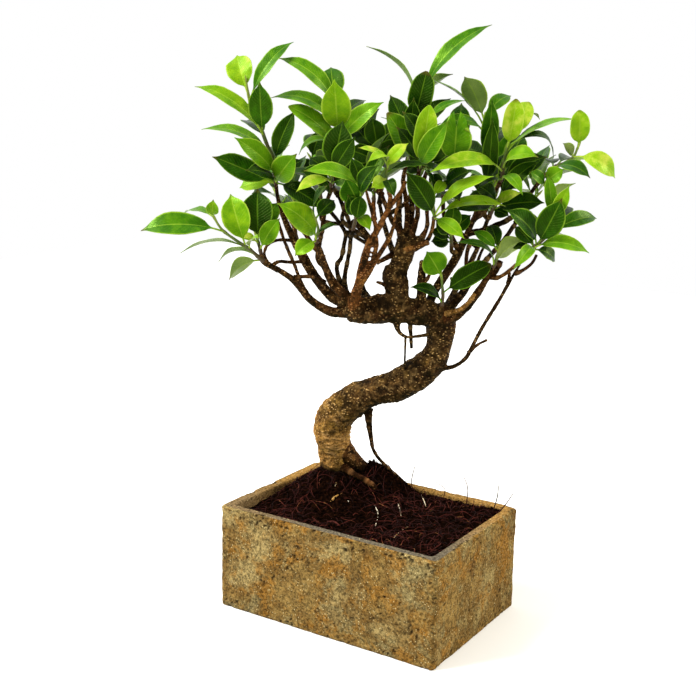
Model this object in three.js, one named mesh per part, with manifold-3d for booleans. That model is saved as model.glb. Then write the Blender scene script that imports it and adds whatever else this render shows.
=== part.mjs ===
// A small Chinese banyan (Ficus microcarpa) trained as a bonsai, in a rough stone trough.
// Millimetres, +Z up. The origin is the middle of the trough's underside and +X runs along its long side.
import * as THREE from "three";
import Module from "manifold-3d";

const wasm = await Module();
wasm.setup();

// Trough
const POT_LENGTH = 200;
const POT_WIDTH = 140;
const POT_HEIGHT = 86;
const POT_WALL = 9.5;
const POT_FLOOR = 12;
const POT_CORNER = 4;
const POT_EDGE_WEAR = 1.6;
const POT_ROUGHNESS = 1.3;
const POT_CELL = 32;
const POT_SEED = 11;
const RIM_BEVEL = 1;

// Soil, measured up from the trough's underside. It lies higher towards the right and the far side.
const SOIL_LEVEL = 80.5;
const SOIL_RISE_RIGHT = 1.5;
const SOIL_RISE_FAR = 2.5;
const SOIL_CELL = 10;
const SOIL_LUMPS = 4.2;
const SOIL_SLOPE = 16;
const SOIL_HEAP_AT_WALL = 0.35;
const SOIL_SEED = 23;
const CLEARANCE = 0.3;
const ROOT_CLEARANCE = 0.5;
const SLIVER = 0.1;
const TOUCHING = 1e-4;

// The tree is turned in its trough. All its places below are given as they look from the front of the
// tree, on the upright plane through the trough's middle: [across, height, depth behind that plane].
// The eye stands EYE from the trough's origin, so a place further back is spread out from the eye's axis.
const TREE_TURN = THREE.MathUtils.degToRad(32.26);
const EYE = new THREE.Vector3(-21, -916, 431);

// Leaves
const BLADE_THICKNESS = 1.2;
const PETIOLE_THICKNESS = 1.7;
const PETIOLE_SHARE = 0.16;
const BLADE_FOLD = 0.16;
const BLADE_ARCH = 0.13;
const ARCH_PEAK = 0.45;
const BLADE_OUTLINE = [
  [0.24, 0.72],
  [0.52, 1],
  [0.8, 0.7],
];
const STEM_THICKNESS = [3.2, 1.6];
const STEM_GAP = 0.5;
const STEM_START = 3;
const STEM_STEP = 20;
const STEM_SIDES = 3;
const BUD_LENGTH = 5;
const BUD_TIP_RADIUS = 0.3;
const GOLDEN_ANGLE = THREE.MathUtils.degToRad(137.5);
const TWIG_THICKNESS = [3.8, 3.4, 3.2];
const TWIG_BEND = 0.35;

// Leaves of the far shoots. Each range runs from the least to the most.
const FAR_LEAVES = 6;
const FAR_SHARE = [0.1, 0.95];
const FAR_LENGTH = [38, 52];
const FAR_WIDTH = [16, 22];
const FAR_RISE = [8, 58];
const FAR_RISE_SPREAD = 14;
const FAR_FACING_SPREAD = 25;
const FAR_FACING_AWAY = 30;
const FAR_SEED = 100;

// Relief of the old bark: each wave's height as a share of the radius, how many times it goes round the
// trunk, and how far it turns along the whole route, in radians.
const BARK_WAVES = [
  { height: 0.045, lobes: 2, turn: 5 },
  { height: 0.03, lobes: 5, turn: 9 },
  { height: 0.018, lobes: 0, turn: 150 },
];

// Sides round a route and the length of its steps, for routes over each thickness.
const FINENESS = [
  { over: 25, sides: 12, step: 8 },
  { over: 18, sides: 9, step: 9 },
  { over: 11, sides: 6, step: 12 },
  { over: 7, sides: 5, step: 17 },
  { over: 0, sides: 4, step: 22 },
];
const RELIEF_SIDES = 12;

const LOOKS = {
  stone: { color: 0x8d8468, roughness: 0.9 },
  soil: { color: 0x1d130c, roughness: 1 },
  bark: { color: 0x6b4f2a, roughness: 0.8 },
  leaf: { color: 0x3f7d12, roughness: 0.35 },
};

// Wood: each route is a list of [across, height, depth, thickness].
const WOOD = {
  trunk: [
    [-24, 84, 50, 24], [-26, 104, 49, 25], [-28, 120, 48, 24], [-30, 130, 46, 25], [-31, 140, 44, 29],
    [-32.5, 150, 42, 31], [-30.5, 160, 39, 30], [-25.5, 167, 37, 29], [-16.5, 174, 34, 28.5],
    [-5.5, 180.5, 31, 25], [8, 185, 28, 24.5], [22.5, 190, 25, 27.5], [34.5, 198.5, 22, 27],
    [46, 210, 19, 24], [50.5, 222, 17, 21], [51.5, 232, 16, 23], [50, 243, 15, 26], [45, 250, 14, 23],
  ],
  limb: [
    [50, 242, 15, 24], [39, 247.5, 13, 22], [25, 249.5, 10, 21], [11, 250, 9, 23], [-3, 249, 7, 23.5],
    [-15, 248.5, 5, 22], [-23, 251, 4, 16],
  ],
  scar: [[7, 252, 8, 15], [7, 253, -1, 15], [7, 253, -3.5, 12]],
  upright: [
    [17, 250, 10, 21], [16, 265, 10, 18.5], [16, 277, 9, 16.5], [18, 287, 9, 15.5], [20, 297, 9, 16.5],
    [21, 304, 8, 15], [22, 309, 8, 9],
  ],
  upright_knob: [[21, 299, 9, 13], [29, 302, 7, 11], [36, 306, 5, 7]],
  fork_a: [
    [20, 302, 8, 7], [17, 310, 8, 5], [10, 320, 6, 4.2], [6, 329, 4, 4], [2, 339, 2, 3.8], [-2, 352, 0, 3.4],
  ],
  fork_b: [
    [21, 303, 9, 7], [22, 314, 11, 5.4], [22, 324, 13, 4.6], [20, 339, 16, 4.2], [18, 350, 18, 4],
    [20, 362, 20, 3.6],
  ],
  fork_c: [
    [24, 303, 8, 7], [28, 316, 5, 5], [30, 324, 3, 4.4], [29, 335, 0, 4.2], [28, 347, -2, 4],
    [30, 358, -2, 3.6],
  ],
  fork_e: [[20, 303, 12, 7], [16, 316, 14, 5], [15.5, 328, 16, 4.6], [16, 340, 18, 3.6]],
  fork_f: [[23, 304, 12, 7], [25, 318, 15, 4.6], [25.5, 330, 17, 4.4], [25, 342, 19, 3.6]],
  fork_g: [[33, 304, 6, 5], [37.5, 315, 6, 3.2], [37, 328, 5, 3]],
  fork_d: [[27, 298, 6, 7], [37, 303, 0, 4.6], [41, 311, -6, 3.8], [42.5, 321, -10, 3.6]],
  broken_twig: [[21, 297, 4, 5.4], [30, 299, -3, 4], [39, 303, -7, 3.8]],
  upright_burl: [[13, 264, 9, 12], [9.5, 275, 7, 12], [10, 284, 6, 8]],
  upright_stub: [[12, 293, 7, 4.5], [5, 289, 1, 3.5], [0, 286, -2, 3]],
  upright_hook: [[10, 267, 7, 3.5], [4, 270, 4, 2.6], [0, 271, 3, 2]],
  limb_stub: [[35, 256, 10, 9], [35, 268, 9, 8], [35, 278, 8, 7], [35.5, 289, 7, 5.5]],
  limb_stub_twig: [[35, 271, 8, 3.5], [39, 274, 6, 3], [42, 281, 5, 2.4]],
  left_low: [
    [-16, 247, 5, 11], [-32, 246, 2, 8.5], [-42, 249.5, -1, 7], [-52, 256.5, -4, 6.6],
    [-58, 264, -6, 6.4], [-66, 272, -8, 5.8], [-76, 278.5, -11, 4.8], [-88, 285.5, -14, 3.8],
  ],
  left_back: [
    [-20, 254, 6, 11], [-32, 257, 9, 9.5], [-40, 264, 12, 8.4], [-48, 274, 15, 8.4], [-54.5, 284, 18, 8],
    [-60, 294, 20, 7.4], [-65.5, 304, 20, 6.4], [-72, 318, 18, 5], [-77, 332, 14, 4], [-79, 345, 11, 3.6],
  ],
  left_rise: [
    [-21, 257, 3, 10], [-32, 267, 1, 8], [-37.5, 276, 0, 7], [-41.5, 286, -2, 5.8], [-45, 296, -4, 4.6],
    [-47, 301, -8, 3.6],
  ],
  left_fork: [[-42, 289, -2, 4.2], [-50, 299, -1, 3.6], [-57, 309, 0, 3.4], [-61, 316, 1, 3.2]],
  left_tall: [
    [-40, 281, 0, 4.2], [-46, 288, 4, 3.6], [-45, 300, 6, 3.4], [-43, 312, 8, 3.4], [-41, 328, 10, 3.4],
    [-36, 345, 12, 3.4], [-33, 362, 14, 3.4],
  ],
  pair_a: [
    [-23, 260, 8, 4.6], [-30, 275, 12, 3.6], [-31, 284, 14, 3.4], [-28, 289, 14, 3], [-26, 299, 15, 3],
    [-25, 308, 16, 3], [-31, 318, 20, 3], [-38, 326, 26, 3],
  ],
  pair_b: [
    [-23, 260, 9, 5], [-25, 271, 11, 3.8], [-23.5, 284, 12, 3.4], [-21.5, 296, 13, 3.2],
    [-21, 308, 13, 3.2], [-22, 316, 15, 3.2],
    [-27, 328, 20, 3.2], [-32, 340, 28, 3.2],
  ],
  pair_link: [[-26, 310, 16, 3], [-20, 308, 14, 3], [-14, 304, 12, 3.2], [-6, 300, 8, 4]],
  pair_knot: [[-22, 314, 14, 5], [-17, 317, 15, 7.5], [-12, 311, 12, 6], [-6, 305, 6, 4.5]],
  red_stem: [
    [-18, 250, 0, 11], [-16, 261, -6, 8.4], [-13.5, 270, -9, 7.4], [-12, 280, -11, 7], [-9.5, 291, -13, 6.4],
    [-6.5, 302, -15, 5.6], [-1.5, 311, -17, 4.4], [-3.5, 320, -20, 3.6], [-6.5, 330, -24, 3.4],
    [-9, 338, -30, 2.8], [-11.5, 346, -37, 2.2],
  ],
  red_fork: [
    [-14, 267, -9, 6.4], [-8, 276, -9, 5.2], [-2, 287, -8, 4.8], [4, 297, -7, 4.6], [9, 306, -8, 4],
    [12, 316, -9, 3.2], [13.5, 326, -10, 3], [16, 336, -12, 2.6],
  ],
  red_twig: [
    [-3, 307, -16, 4.4], [0, 312, -17, 4.2], [4, 321, -17, 3.8], [10, 332, -17, 3.6], [17, 342, -18, 3.2],
    [20, 349.5, -19, 2.6],
  ],
  red_link: [[-6, 281, -9, 4], [-3, 290, -12, 3.6], [-1, 300, -15, 4], [-2, 308, -16, 4]],
  thin_left: [
    [-50, 256, -3, 3.2], [-56, 264, 3, 2.8], [-61, 275, 6, 2.6], [-64, 283, 8, 2.6], [-69, 294, 9, 2.6],
    [-73, 304, 10, 2.4], [-77, 316, 10, 2.4],
  ],
  cross_left: [[-81, 282, -12, 3], [-77, 285, -8, 2.6], [-66, 285, 2, 2.6], [-56, 286, 14, 2.8]],
  cross_low: [[-64, 273, -7, 3.4], [-56, 274, -3, 2.8], [-46, 273, 4, 2.8], [-40, 270, 8, 3.2]],
  left_loop: [
    [-65, 302, 19, 2.8], [-77, 302, 12, 2.2], [-85, 298, 4, 2.2], [-87.5, 291, -4, 2.2],
    [-85, 284.5, -12, 2.6],
  ],
  right_main: [
    [50, 241, 14, 16], [60, 245, 9, 10.5], [66.5, 249, 6, 8.6], [72, 254, 3, 7.4], [77, 261, 0, 6.4],
    [81, 268, -3, 5.8], [85.5, 276, -5, 5.2], [90, 285, -7, 3.8],
  ],
  right_strip: [
    [52, 246, 9, 5], [57, 247.5, 3, 4], [64, 249.5, 0, 3.8], [71, 255, -2, 3.6], [77, 264, -4, 3.2],
  ],
  right_knob: [[89, 278, -5, 4.4], [93, 284, -3, 4.6], [95.5, 290, -2, 5]],
  right_reach: [
    [86, 277.5, -5, 4], [93, 276.5, -8, 3.4], [99, 279.5, -9, 3], [107, 286.5, -10, 2.8],
    [113, 292, -10.5, 2.8], [118.5, 298.5, -11, 3],
  ],
  right_dark: [
    [55, 248, 14, 8], [62, 257, 14, 7], [68, 265, 14, 6.6], [73, 274, 12, 5.4], [76.5, 284, 10, 4.2],
    [79, 293, 8, 3.2], [83, 303, 6, 2.8],
  ],
  right_thin: [[69, 268, 14, 4.2], [69.5, 280, 18, 3.6], [69, 294, 24, 3.2], [72, 306, 30, 3.4]],
  right_black: [[60, 254, 15, 3.4], [61, 264, 18, 3], [58, 276, 24, 2.8]],
  right_grey: [
    [40, 252, 18, 8], [46, 266, 23, 7.4], [52.5, 277, 26, 7.4], [58, 286, 28, 7.4], [62.5, 295, 30, 7],
    [66.5, 305, 31, 6.2], [71, 316, 31, 5], [76, 330, 29, 4.2], [80, 343, 26, 3.6],
  ],
  right_up: [
    [70, 311, 31, 4.6], [80, 313, 27, 4.6], [90, 317, 23, 4.4], [98, 321, 19, 4], [106, 327, 15, 3.4],
    [112, 336, 10, 3], [118, 346, 7, 3], [124, 354, 4, 3], [131, 361, -1, 3.2],
  ],
  right_inner: [[73, 321, 30, 3.8], [82, 333, 22, 3.4], [88, 342, 15, 3.2], [92, 351, 10, 3.2]],
  heart_twig: [[63, 296, 30, 4], [56, 310, 24, 3.6], [50, 325, 16, 3.4], [49, 339, 11, 3.2]],
  right_low: [
    [48, 204, 18, 8], [57, 203.5, 14, 4.4], [65, 206, 11, 3.8], [72, 212, 9, 3.8], [77, 222, 7, 3.6],
    [84.5, 238, 4, 3.6], [91, 250, 1, 3.6], [96.5, 260, -1, 3.4], [102, 271, -3, 3.4], [107, 281, -5, 3],
    [111, 288, -6, 2.4],
  ],
  right_low_tip: [[107, 280, -5, 3], [114, 283.5, -8, 2.4], [120, 289, -10, 2.2], [123, 295, -13, 2.2]],
  right_low_dead: [[74, 216, 8, 2.8], [81, 223, 12, 2.2], [88, 227, 14, 2]],
  right_low_spur: [[102, 272, -3, 2.8], [103, 281, -1, 2.2]],
  back_a: [
    [-4, 253, 12, 8], [-12, 268, 30, 6], [-11, 285, 46, 5], [-8, 302, 60, 4.4], [-14, 318, 72, 3.6],
  ],
  back_b: [[18, 268, 14, 8], [16, 284, 34, 6], [10, 300, 52, 5], [4, 318, 68, 4.4], [0, 334, 80, 3.6]],
  back_c: [[52, 245, 20, 10], [58, 258, 38, 6.4], [65, 274, 54, 5.4], [74, 292, 68, 4.6], [82, 312, 80, 3.8]],
  back_d: [[70, 272, 14, 5], [84, 290, 34, 4], [97, 306, 50, 3.6], [107, 322, 62, 3.4]],
  aerial_root: [
    [-6, 170, 33, 7], [-4.5, 163, 34, 4.6], [-3, 153, 36, 3.4], [-1, 144, 38, 3], [1, 135, 40, 2.8],
    [6, 127, 42, 2.8], [14, 119, 43, 2.6], [22, 112, 43, 2.6], [29, 105, 42, 2.6], [36, 95, 42, 2.6],
  ],
  aerial_strand: [[-2, 168, 31, 3.6], [-1.5, 158, 34, 2.2], [-0.5, 147, 37, 2], [1, 137, 39.5, 2]],
  root_loop: [
    [16, 243, 8, 8], [18, 233, 8, 4], [24, 228, 7, 3], [33, 228.5, 6, 3], [43, 230.5, 6, 4],
  ],
  root_stub: [[27, 243, 8, 4], [28, 230, 10, 2.8], [29, 219, 11, 2.6]],
  root_hair: [[24, 228, 7, 1.8], [24, 218, 9, 1.6], [24, 202, 16, 1.6]],
  flare: [
    [-27, 138, 44, 22], [-21, 130, 46, 20], [-14, 123, 47, 17], [-6, 116, 47, 14], [4, 109, 46, 11],
    [14, 102, 45, 8],
  ],
  surface_root: [
    [-22, 119, 38, 7], [-14, 113.5, 31, 4.6], [-5, 109, 27, 4.4], [2, 104, 24, 4.4], [4, 101, 23, 4],
  ],
};

// Leafy shoots. The stem follows on the end of a branch, or springs from a share of one, and each leaf is
// [share of the stem's length, tip across, tip height, tip depth, width, facing, arch]:
// facing is 0 where the upper face looks up and 90 where it looks to the front.
const SHOOTS = {
  left_tip: {
    on: "left_low",
    stem: [[-99, 294.5, -17], [-111, 302, -20], [-121, 310, -22], [-128, 321, -23]],
    leaves: [
      [0.06, -115, 270, -26, 17, -50, 0.2], [0.26, -124, 284.5, -22, 14, -24, 0.22],
      [0.4, -153, 290, -24, 15, -18, 0.15], [0.74, -184, 308, -30, 21, 48],
      [0.95, -150, 322, -8, 14, 10], [0.97, -127, 332, -32, 10, 60], [0.45, -114, 337, -12, 22, 86],
      [0.4, -92, 304, -36, 9, 40],
    ],
  },
  left_mid: {
    from: ["left_low", 0.86],
    stem: [[-90, 291, -9], [-92, 299, -5], [-95, 308, -2]],
    leaves: [
      [0.55, -93, 341, 2, 25, 82], [0.2, -76, 319, -12, 15, 62], [0.8, -77, 332, 16, 16, 66],
      [0.5, -108.5, 304, -6, 8, 40, 0.2], [0.9, -90, 322, 36, 16, 20], [0.9, -84, 326, 8, 12, 60],
    ],
  },
  upper_left: {
    on: "left_back",
    stem: [[-80, 362, 8], [-87, 377, 4], [-92, 390, 2], [-99, 405, 2], [-102, 421, 2]],
    leaves: [
      [0.05, -127, 365, -8, 20, 60, 0], [0.03, -107, 341.5, 14, 17, 46, 0.12], [0.1, -102, 355, -20, 15, 55],
      [0.05, -64, 368, -12, 20, 76], [0.04, -42, 327, -6, 17, 55], [0.22, -110, 380, -8, 17, 58],
      [0.32, -65, 401, -2, 15, 62, 0.2], [0.34, -136, 385.5, 10, 14, 26, 0.18],
      [0.54, -141, 418, 0, 14, 40, 0.18],
      [0.58, -92, 421, -12, 19, 86], [0.84, -67, 452, 10, 13, 36, 0.16], [0.9, -109, 440, 20, 21, 96],
      [0.16, -58, 364, 14, 13, 50], [0.3, -86, 372, 48, 17, 20], [0.5, -104, 392, 42, 17, 20],
      [0.04, -36, 341, 6, 14, 22, 0.26],
    ],
  },
  top_left: {
    on: "left_tall",
    stem: [[-32, 376, 12], [-33, 392, 10], [-35, 405, 10]],
    leaves: [
      [0.5, 1, 409, -6, 17, 52], [0.42, -70, 404, -6, 17, 48], [0.6, -84, 410.5, 8, 15, 38, 0.3],
      [0.85, -79, 440, 8, 15, 42, 0.26], [0.62, -36, 424, -2, 23, 80], [0.96, -39, 434, 26, 19, 84],
      [0.7, -12, 410, 30, 15, 16], [0.3, -52, 392, 46, 17, 20], [0.5, -24, 402, 50, 17, 20],
      [0.5, -63, 368, 14, 9, 30, 0.28], [0.55, -9, 398, 22, 13, 60],
    ],
  },
  left_inner: {
    from: ["left_tall", 0.82],
    stem: [[-37, 344, 2], [-36, 355, -5]],
    leaves: [
      [0.85, -29, 394, -10, 23, 82], [0.95, -19.5, 382, -18, 16, 76], [0.3, -64, 340, -24, 11, 45, 0.2],
      [0.5, -54, 366, 6, 15, 50], [0.2, -16, 352, -8, 15, 60], [0.4, -60, 356, -8, 13, 60],
    ],
  },
  left_rear: {
    from: ["pair_b", 0.97],
    stem: [[-40, 349, 38], [-53, 366, 44]],
    leaves: [
      [0.92, -45, 387, 38, 13, 66], [0.8, -38, 367, 28, 14, -50], [0.5, -62, 357, 30, 16, 50],
      [0.3, -18, 360, 36, 17, 55], [0.25, -62, 340, 46, 17, 35], [0.9, -50, 384, 74, 17, 30],
    ],
  },
  mid_left: {
    on: "left_rise",
    stem: [[-46, 311, -14], [-50, 322, -20]],
    leaves: [
      [0.2, -77.5, 331, -30, 22, 52, 0.2], [0.06, -64, 290, -20, 14, 50, 0.2], [0.5, -32, 315.5, -16, 7, 30],
      [0.95, -40, 345, -34, 15, 30], [0.9, -34, 334, -8, 14, 55],
    ],
  },
  mid_front: {
    from: ["pair_b", 0.55],
    stem: [[-19, 312, -2], [-17, 322, -12], [-15, 332, -20], [-13, 344, -26]],
    leaves: [
      [0.35, -24, 338, -28, 14, 70], [0.3, -6, 311, -26, 11, 38, 0.26], [0.62, -26, 350, -32, 21, 74],
      [0.92, -58, 355.5, -44, 15, 42, 0.2], [0.86, -2, 362, -46, 14, 60], [0.97, -22, 366, -36, 12, 50],
      [0.76, 7, 376, -30, 12, 45], [0.9, -17, 321, -14, 13, 70],
    ],
  },
  inner_front: {
    from: ["fork_a", 0.92],
    stem: [[-4, 362, 6], [-2, 373, 5]],
    leaves: [
      [0.2, -24, 372, 2, 16, 66], [0.35, 16, 378, 2, 15, 66], [0.9, -7, 397, 4, 17, 72],
      [0.6, -22, 390, 10, 16, 62], [0.7, 15, 394, 9, 16, 62], [0.05, 8, 350, 6, 15, 55],
      [0.1, -20, 354, 8, 14, 55], [0.05, 6, 337, 10, 14, 60],
    ],
  },
  top_mid: {
    on: "fork_b",
    stem: [[22, 378, 20], [25, 396, 21], [31, 414, 22]],
    leaves: [
      [0.25, 4, 401, 4, 20, 62], [0.5, 6, 414, 28, 16, 60], [0.72, 33, 432, 10, 19, 80],
      [0.8, -12.5, 449, 34, 12, -16, 0.19], [0.86, 52, 431, 34, 15, -32], [0.96, 80, 467, 20, 15, 34, 0.18],
      [0.3, 40, 392, 50, 18, 20], [0.6, 14, 404, 56, 17, 20], [0.55, 52, 413, 24, 14, 50],
      [0.5, 24, 412, -2, 14, 50],
    ],
  },
  top_front: {
    on: "fork_c",
    stem: [[30, 372, -4], [32, 388, -4], [35, 400, -1]],
    leaves: [
      [0.1, 36, 407, -18, 17, 70], [0.05, 50, 396, -22, 17, 62], [0.85, 63, 411, 12, 12, 12],
      [0.3, 12, 390, -22, 15, 55], [0.6, 16, 402, -12, 14, 60],
    ],
  },
  inner_right: {
    from: ["fork_c", 0.88],
    stem: [[35, 355, 5], [39, 366, 6]],
    leaves: [
      [0.2, 22, 372, 4, 14, 62], [0.5, 50, 384, 8, 16, 66], [0.92, 37, 390, 9, 16, 70],
      [0.3, 60, 368, 12, 15, 60], [0.1, 46, 344, 10, 14, 55], [0.6, 20, 358, 10, 14, 55],
      [0.05, 22, 335, 10, 14, 60],
    ],
  },
  top_right: {
    on: "right_grey",
    stem: [[80, 362, 22], [78, 380, 18], [78, 398, 16]],
    leaves: [
      [0.96, 61, 429, 12, 19, -58, 0.24], [0.98, 97, 415, 26, 13, 44, 0.28], [0.85, 43, 392, 4, 15, 36, 0.22],
      [0.55, 83, 413, 0, 14, 80], [0.9, 27, 428, 14, 12, 2], [0.4, 60, 382, 50, 18, 25],
      [0.6, 94, 392, 52, 17, 25], [0.3, 106, 372, 44, 17, 20], [0.2, 84, 399, -6, 13, 60],
    ],
  },
  heart: {
    on: "heart_twig",
    stem: [[52, 354, 6], [57, 368, 2]],
    leaves: [
      [0.9, 57, 394, -8, 24, 88], [0.95, 60, 409, 30, 17, 60], [0.3, 70, 359, -14, 16, 52],
      [0.5, 34, 368, -16, 15, 40], [0.15, 62, 336, -20, 16, 40], [0.6, 78, 374, -12, 14, 40],
    ],
  },
  right_heart: {
    from: ["right_grey", 0.9],
    stem: [[86, 326, 18], [92, 338, 10]],
    leaves: [
      [0.3, 127, 336, 0, 17, 60], [0.5, 109, 343, -12, 10, 60], [0.95, 121, 368, -6, 14, 50],
      [0.7, 70, 350, -4, 15, 60], [0.85, 104, 366, 24, 17, 70], [0.6, 64, 338, 34, 17, 40],
      [0.4, 58, 330, 8, 14, 50], [0.25, 100, 325, 8, 13, 60],
    ],
  },
  right_top: {
    on: "right_inner",
    stem: [[94, 366, 4], [97, 380, 0], [101, 393, 0]],
    leaves: [
      [0.68, 101, 413, -8, 16, 88], [0.8, 111, 411, 10, 15, 70], [0.62, 148, 400, -8, 14, 16],
      [0.9, 121, 399, 16, 9, 12, 0.25], [0.4, 120, 371, -18, 17, 42, 0.22], [0.36, 38, 357, -24, 16, 42, 0.2],
      [0.08, 127, 371, 8, 17, 60], [0.7, 132, 370, 14, 9, 36, 0.42], [0.04, 109, 342, -16, 11, 40, 0.25],
      [0.1, 74, 345, -12, 12, 10], [0.3, 108, 388, 24, 16, 60], [0.15, 72, 378, 16, 16, 60],
    ],
  },
  right_far: {
    on: "right_up",
    stem: [[140, 366, -4], [147, 371.5, -5], [149.8, 379, -5]],
    leaves: [
      [0.96, 149, 406, -12, 15, 86], [0.72, 138, 381, 8, 9, -60], [0.72, 180.5, 355.5, -10, 17, 56, 0.3],
      [0.4, 179, 358.5, 16, 12, 14, 0.16], [0.05, 161, 355.5, -18, 15, 36, 0.22], [0.3, 150, 366, 38, 16, 16],
      [0.1, 128, 372, 34, 15, 20],
    ],
  },
  centre_low: {
    on: "fork_d",
    stem: [[42, 330, -12], [40, 345, -14]],
    leaves: [
      [0.25, 20, 356.5, -22, 19, 70], [0.3, 87, 355, -24, 14, 32, 0.16], [0.85, 50, 350.5, -2, 9, 66],
      [0.06, 97.5, 332.5, -14, 13, 30, 0.18], [0.05, 64, 306.5, -8, 12, 62], [0.95, 33, 361, -22, 7, 30],
    ],
  },
  centre_fill: {
    from: ["red_twig", 0.55],
    stem: [[7.5, 341, -20], [5, 351, -21], [6, 362, -22]],
    leaves: [
      [0.85, 21, 378.5, -28, 11, 50, 0.2], [0.9, -17, 374, -34, 9, 32, 0.18], [0.5, -6, 344, -34, 11, 78],
      [0.35, 12, 337, -40, 10, 66, 0.3], [0.7, 36, 362, -30, 9, 30], [0.95, -10, 363.5, -38, 9, 40, 0.3],
    ],
  },
  right_low_shoot: {
    on: "right_reach",
    stem: [[124, 304, -12], [131, 312, -13], [133, 326, -12], [130.5, 340, -9], [124, 353, -8]],
    leaves: [
      [0.1, 164, 298, -26, 15, 40, 0.2], [0.06, 138, 290.5, -4, 13, 48, 0.2], [0.16, 112, 329, 10, 16, 80],
      [0.26, 98, 330, -26, 20, 46, 0.16], [0.3, 140, 339, -26, 21, 74], [0.5, 168.5, 325.5, 2, 14, 50, 0.16],
      [0.22, 144, 309, 10, 11, 14, 0.2], [0.62, 128, 357, -14, 10, 70], [0.64, 149.5, 351, -6, 16, -32, 0.24],
      [0.96, 141, 361, -20, 14, 55], [0.94, 114, 359, -14, 11, 50], [0.5, 146, 334, 26, 16, 30],
      [0.62, 145, 349, -26, 11, 66], [0.04, 102, 284, -22, 10, 60, 0.2], [0.18, 104, 318, 2, 13, 60],
      [0.08, 104, 300, -4, 11, 30],
    ],
  },
  right_mid: {
    on: "right_main",
    stem: [[92, 292, -11], [94, 300, -14]],
    leaves: [
      [0.3, 116, 305.5, -18, 19, -50, 0.16], [0.9, 73, 313, -6, 10, 50], [0.9, 86, 318, 6, 12, 60],
      [0.04, 59.5, 303.5, -22, 9, 32, 0.26],
    ],
  },
  low_fill: {
    from: ["right_grey", 0.5],
    stem: [[57, 301, 20], [56, 312, 15]],
    leaves: [
      [0.2, 41, 304, 16, 13, 60], [0.7, 44, 321, 12, 14, 62], [0.9, 57, 334, 16, 14, 62],
      [0.8, 71, 325, 14, 13, 60], [0.4, 40, 313, 24, 12, 50],
    ],
  },
  sucker: {
    from: ["limb", 0.02],
    stem: [[51.4, 254, -1.4], [52, 262, -3], [51, 270, -4], [50, 279, -5]],
    leaves: [
      [0.9, 38, 296, -8, 21, 74], [0.4, 88.5, 287.5, -10, 17, 62], [0.05, 26, 268, -10, 12, 36, 0.2],
    ],
  },
};

// Shoots of the tree's far side and middle: [name, branch, share of its length, stem's foot, stem's top].
const FAR_SHOOTS = [
  ["far_left", "left_back", 0.6, [-70, 322, 46], [-80, 340, 60]],
  ["far_left_high", "back_a", 0.97, [-44, 330, 74], [-46, 350, 80]],
  ["far_left_mid", "back_a", 0.8, [-26, 328, 76], [-22, 352, 92]],
  ["far_middle", "back_b", 0.97, [2, 344, 86], [6, 364, 96]],
  ["far_middle_top", "fork_a", 0.8, [-10, 358, 26], [-12, 374, 38]],
  ["far_middle_high", "back_b", 0.8, [26, 344, 62], [36, 364, 66]],
  ["far_right", "back_c", 0.97, [84, 322, 84], [90, 342, 92]],
  ["far_right_mid", "back_c", 0.85, [62, 320, 80], [58, 342, 88]],
  ["far_right_side", "back_d", 0.95, [112, 330, 64], [122, 342, 66]],
  ["far_right_high", "right_grey", 0.8, [84, 336, 50], [90, 356, 60]],
  ["near_left", "left_fork", 0.95, [-60, 322, 4], [-66, 334, 8]],
  ["near_middle", "red_stem", 0.7, [-4, 334, -6], [-4, 348, -2]],
];

// A repeatable random number from 0 to 1.
function makeRandom(seed) {
  let state = seed >>> 0;
  return () => {
    state = (Math.imul(state, 1664525) + 1013904223) >>> 0;
    return state / 4294967296;
  };
}

// A place as seen from the front of the tree, in the trough's frame.
function place([across, height, depth]) {
  const spread = 1 - depth / EYE.y;
  return new THREE.Vector3(
    EYE.x + (across - EYE.x) * spread,
    depth,
    EYE.z + (height - EYE.z) * spread,
  ).applyAxisAngle(new THREE.Vector3(0, 0, 1), TREE_TURN);
}

// A direction given from the front of the tree, in the trough's frame.
function turned(x, y, z) {
  return new THREE.Vector3(x, y, z).applyAxisAngle(new THREE.Vector3(0, 0, 1), TREE_TURN);
}

// A closed solid from rings of points with the same count, capped by a fan at both ends.
function ringsToSolid(rings, ends) {
  const sides = rings[0].length;
  const points = rings.flat().concat(ends);
  const foot = points.length - 2;
  const top = points.length - 1;
  const triangles = [];
  for (let ring = 0; ring < rings.length - 1; ring += 1) {
    for (let side = 0; side < sides; side += 1) {
      const a = ring * sides + side;
      const b = ring * sides + ((side + 1) % sides);
      triangles.push(a, b, b + sides, a, b + sides, a + sides);
    }
  }
  const last = (rings.length - 1) * sides;
  for (let side = 0; side < sides; side += 1) {
    const next = (side + 1) % sides;
    triangles.push(foot, next, side, top, last + side, last + next);
  }
  return solidFrom(points, triangles);
}

function solidFrom(points, triangles) {
  const vertProperties = new Float32Array(points.flatMap((p) => [p.x, p.y, p.z]));
  const made = new wasm.Manifold(
    new wasm.Mesh({ numProp: 3, vertProperties, triVerts: new Uint32Array(triangles) }),
  );
  if (made.volume() > 0) return made;
  const turnedOut = new Uint32Array(triangles);
  for (let i = 0; i < turnedOut.length; i += 3) {
    [turnedOut[i + 1], turnedOut[i + 2]] = [turnedOut[i + 2], turnedOut[i + 1]];
  }
  return new wasm.Manifold(new wasm.Mesh({ numProp: 3, vertProperties, triVerts: turnedOut }));
}

// A route's points in the trough's frame, each with its thickness.
function laid(route) {
  return route.map((point) => ({ at: place(point), thickness: point[3] }));
}

function smooth(points) {
  return new THREE.CatmullRomCurve3(points.map(({ at }) => at), false, "centripetal");
}

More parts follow.
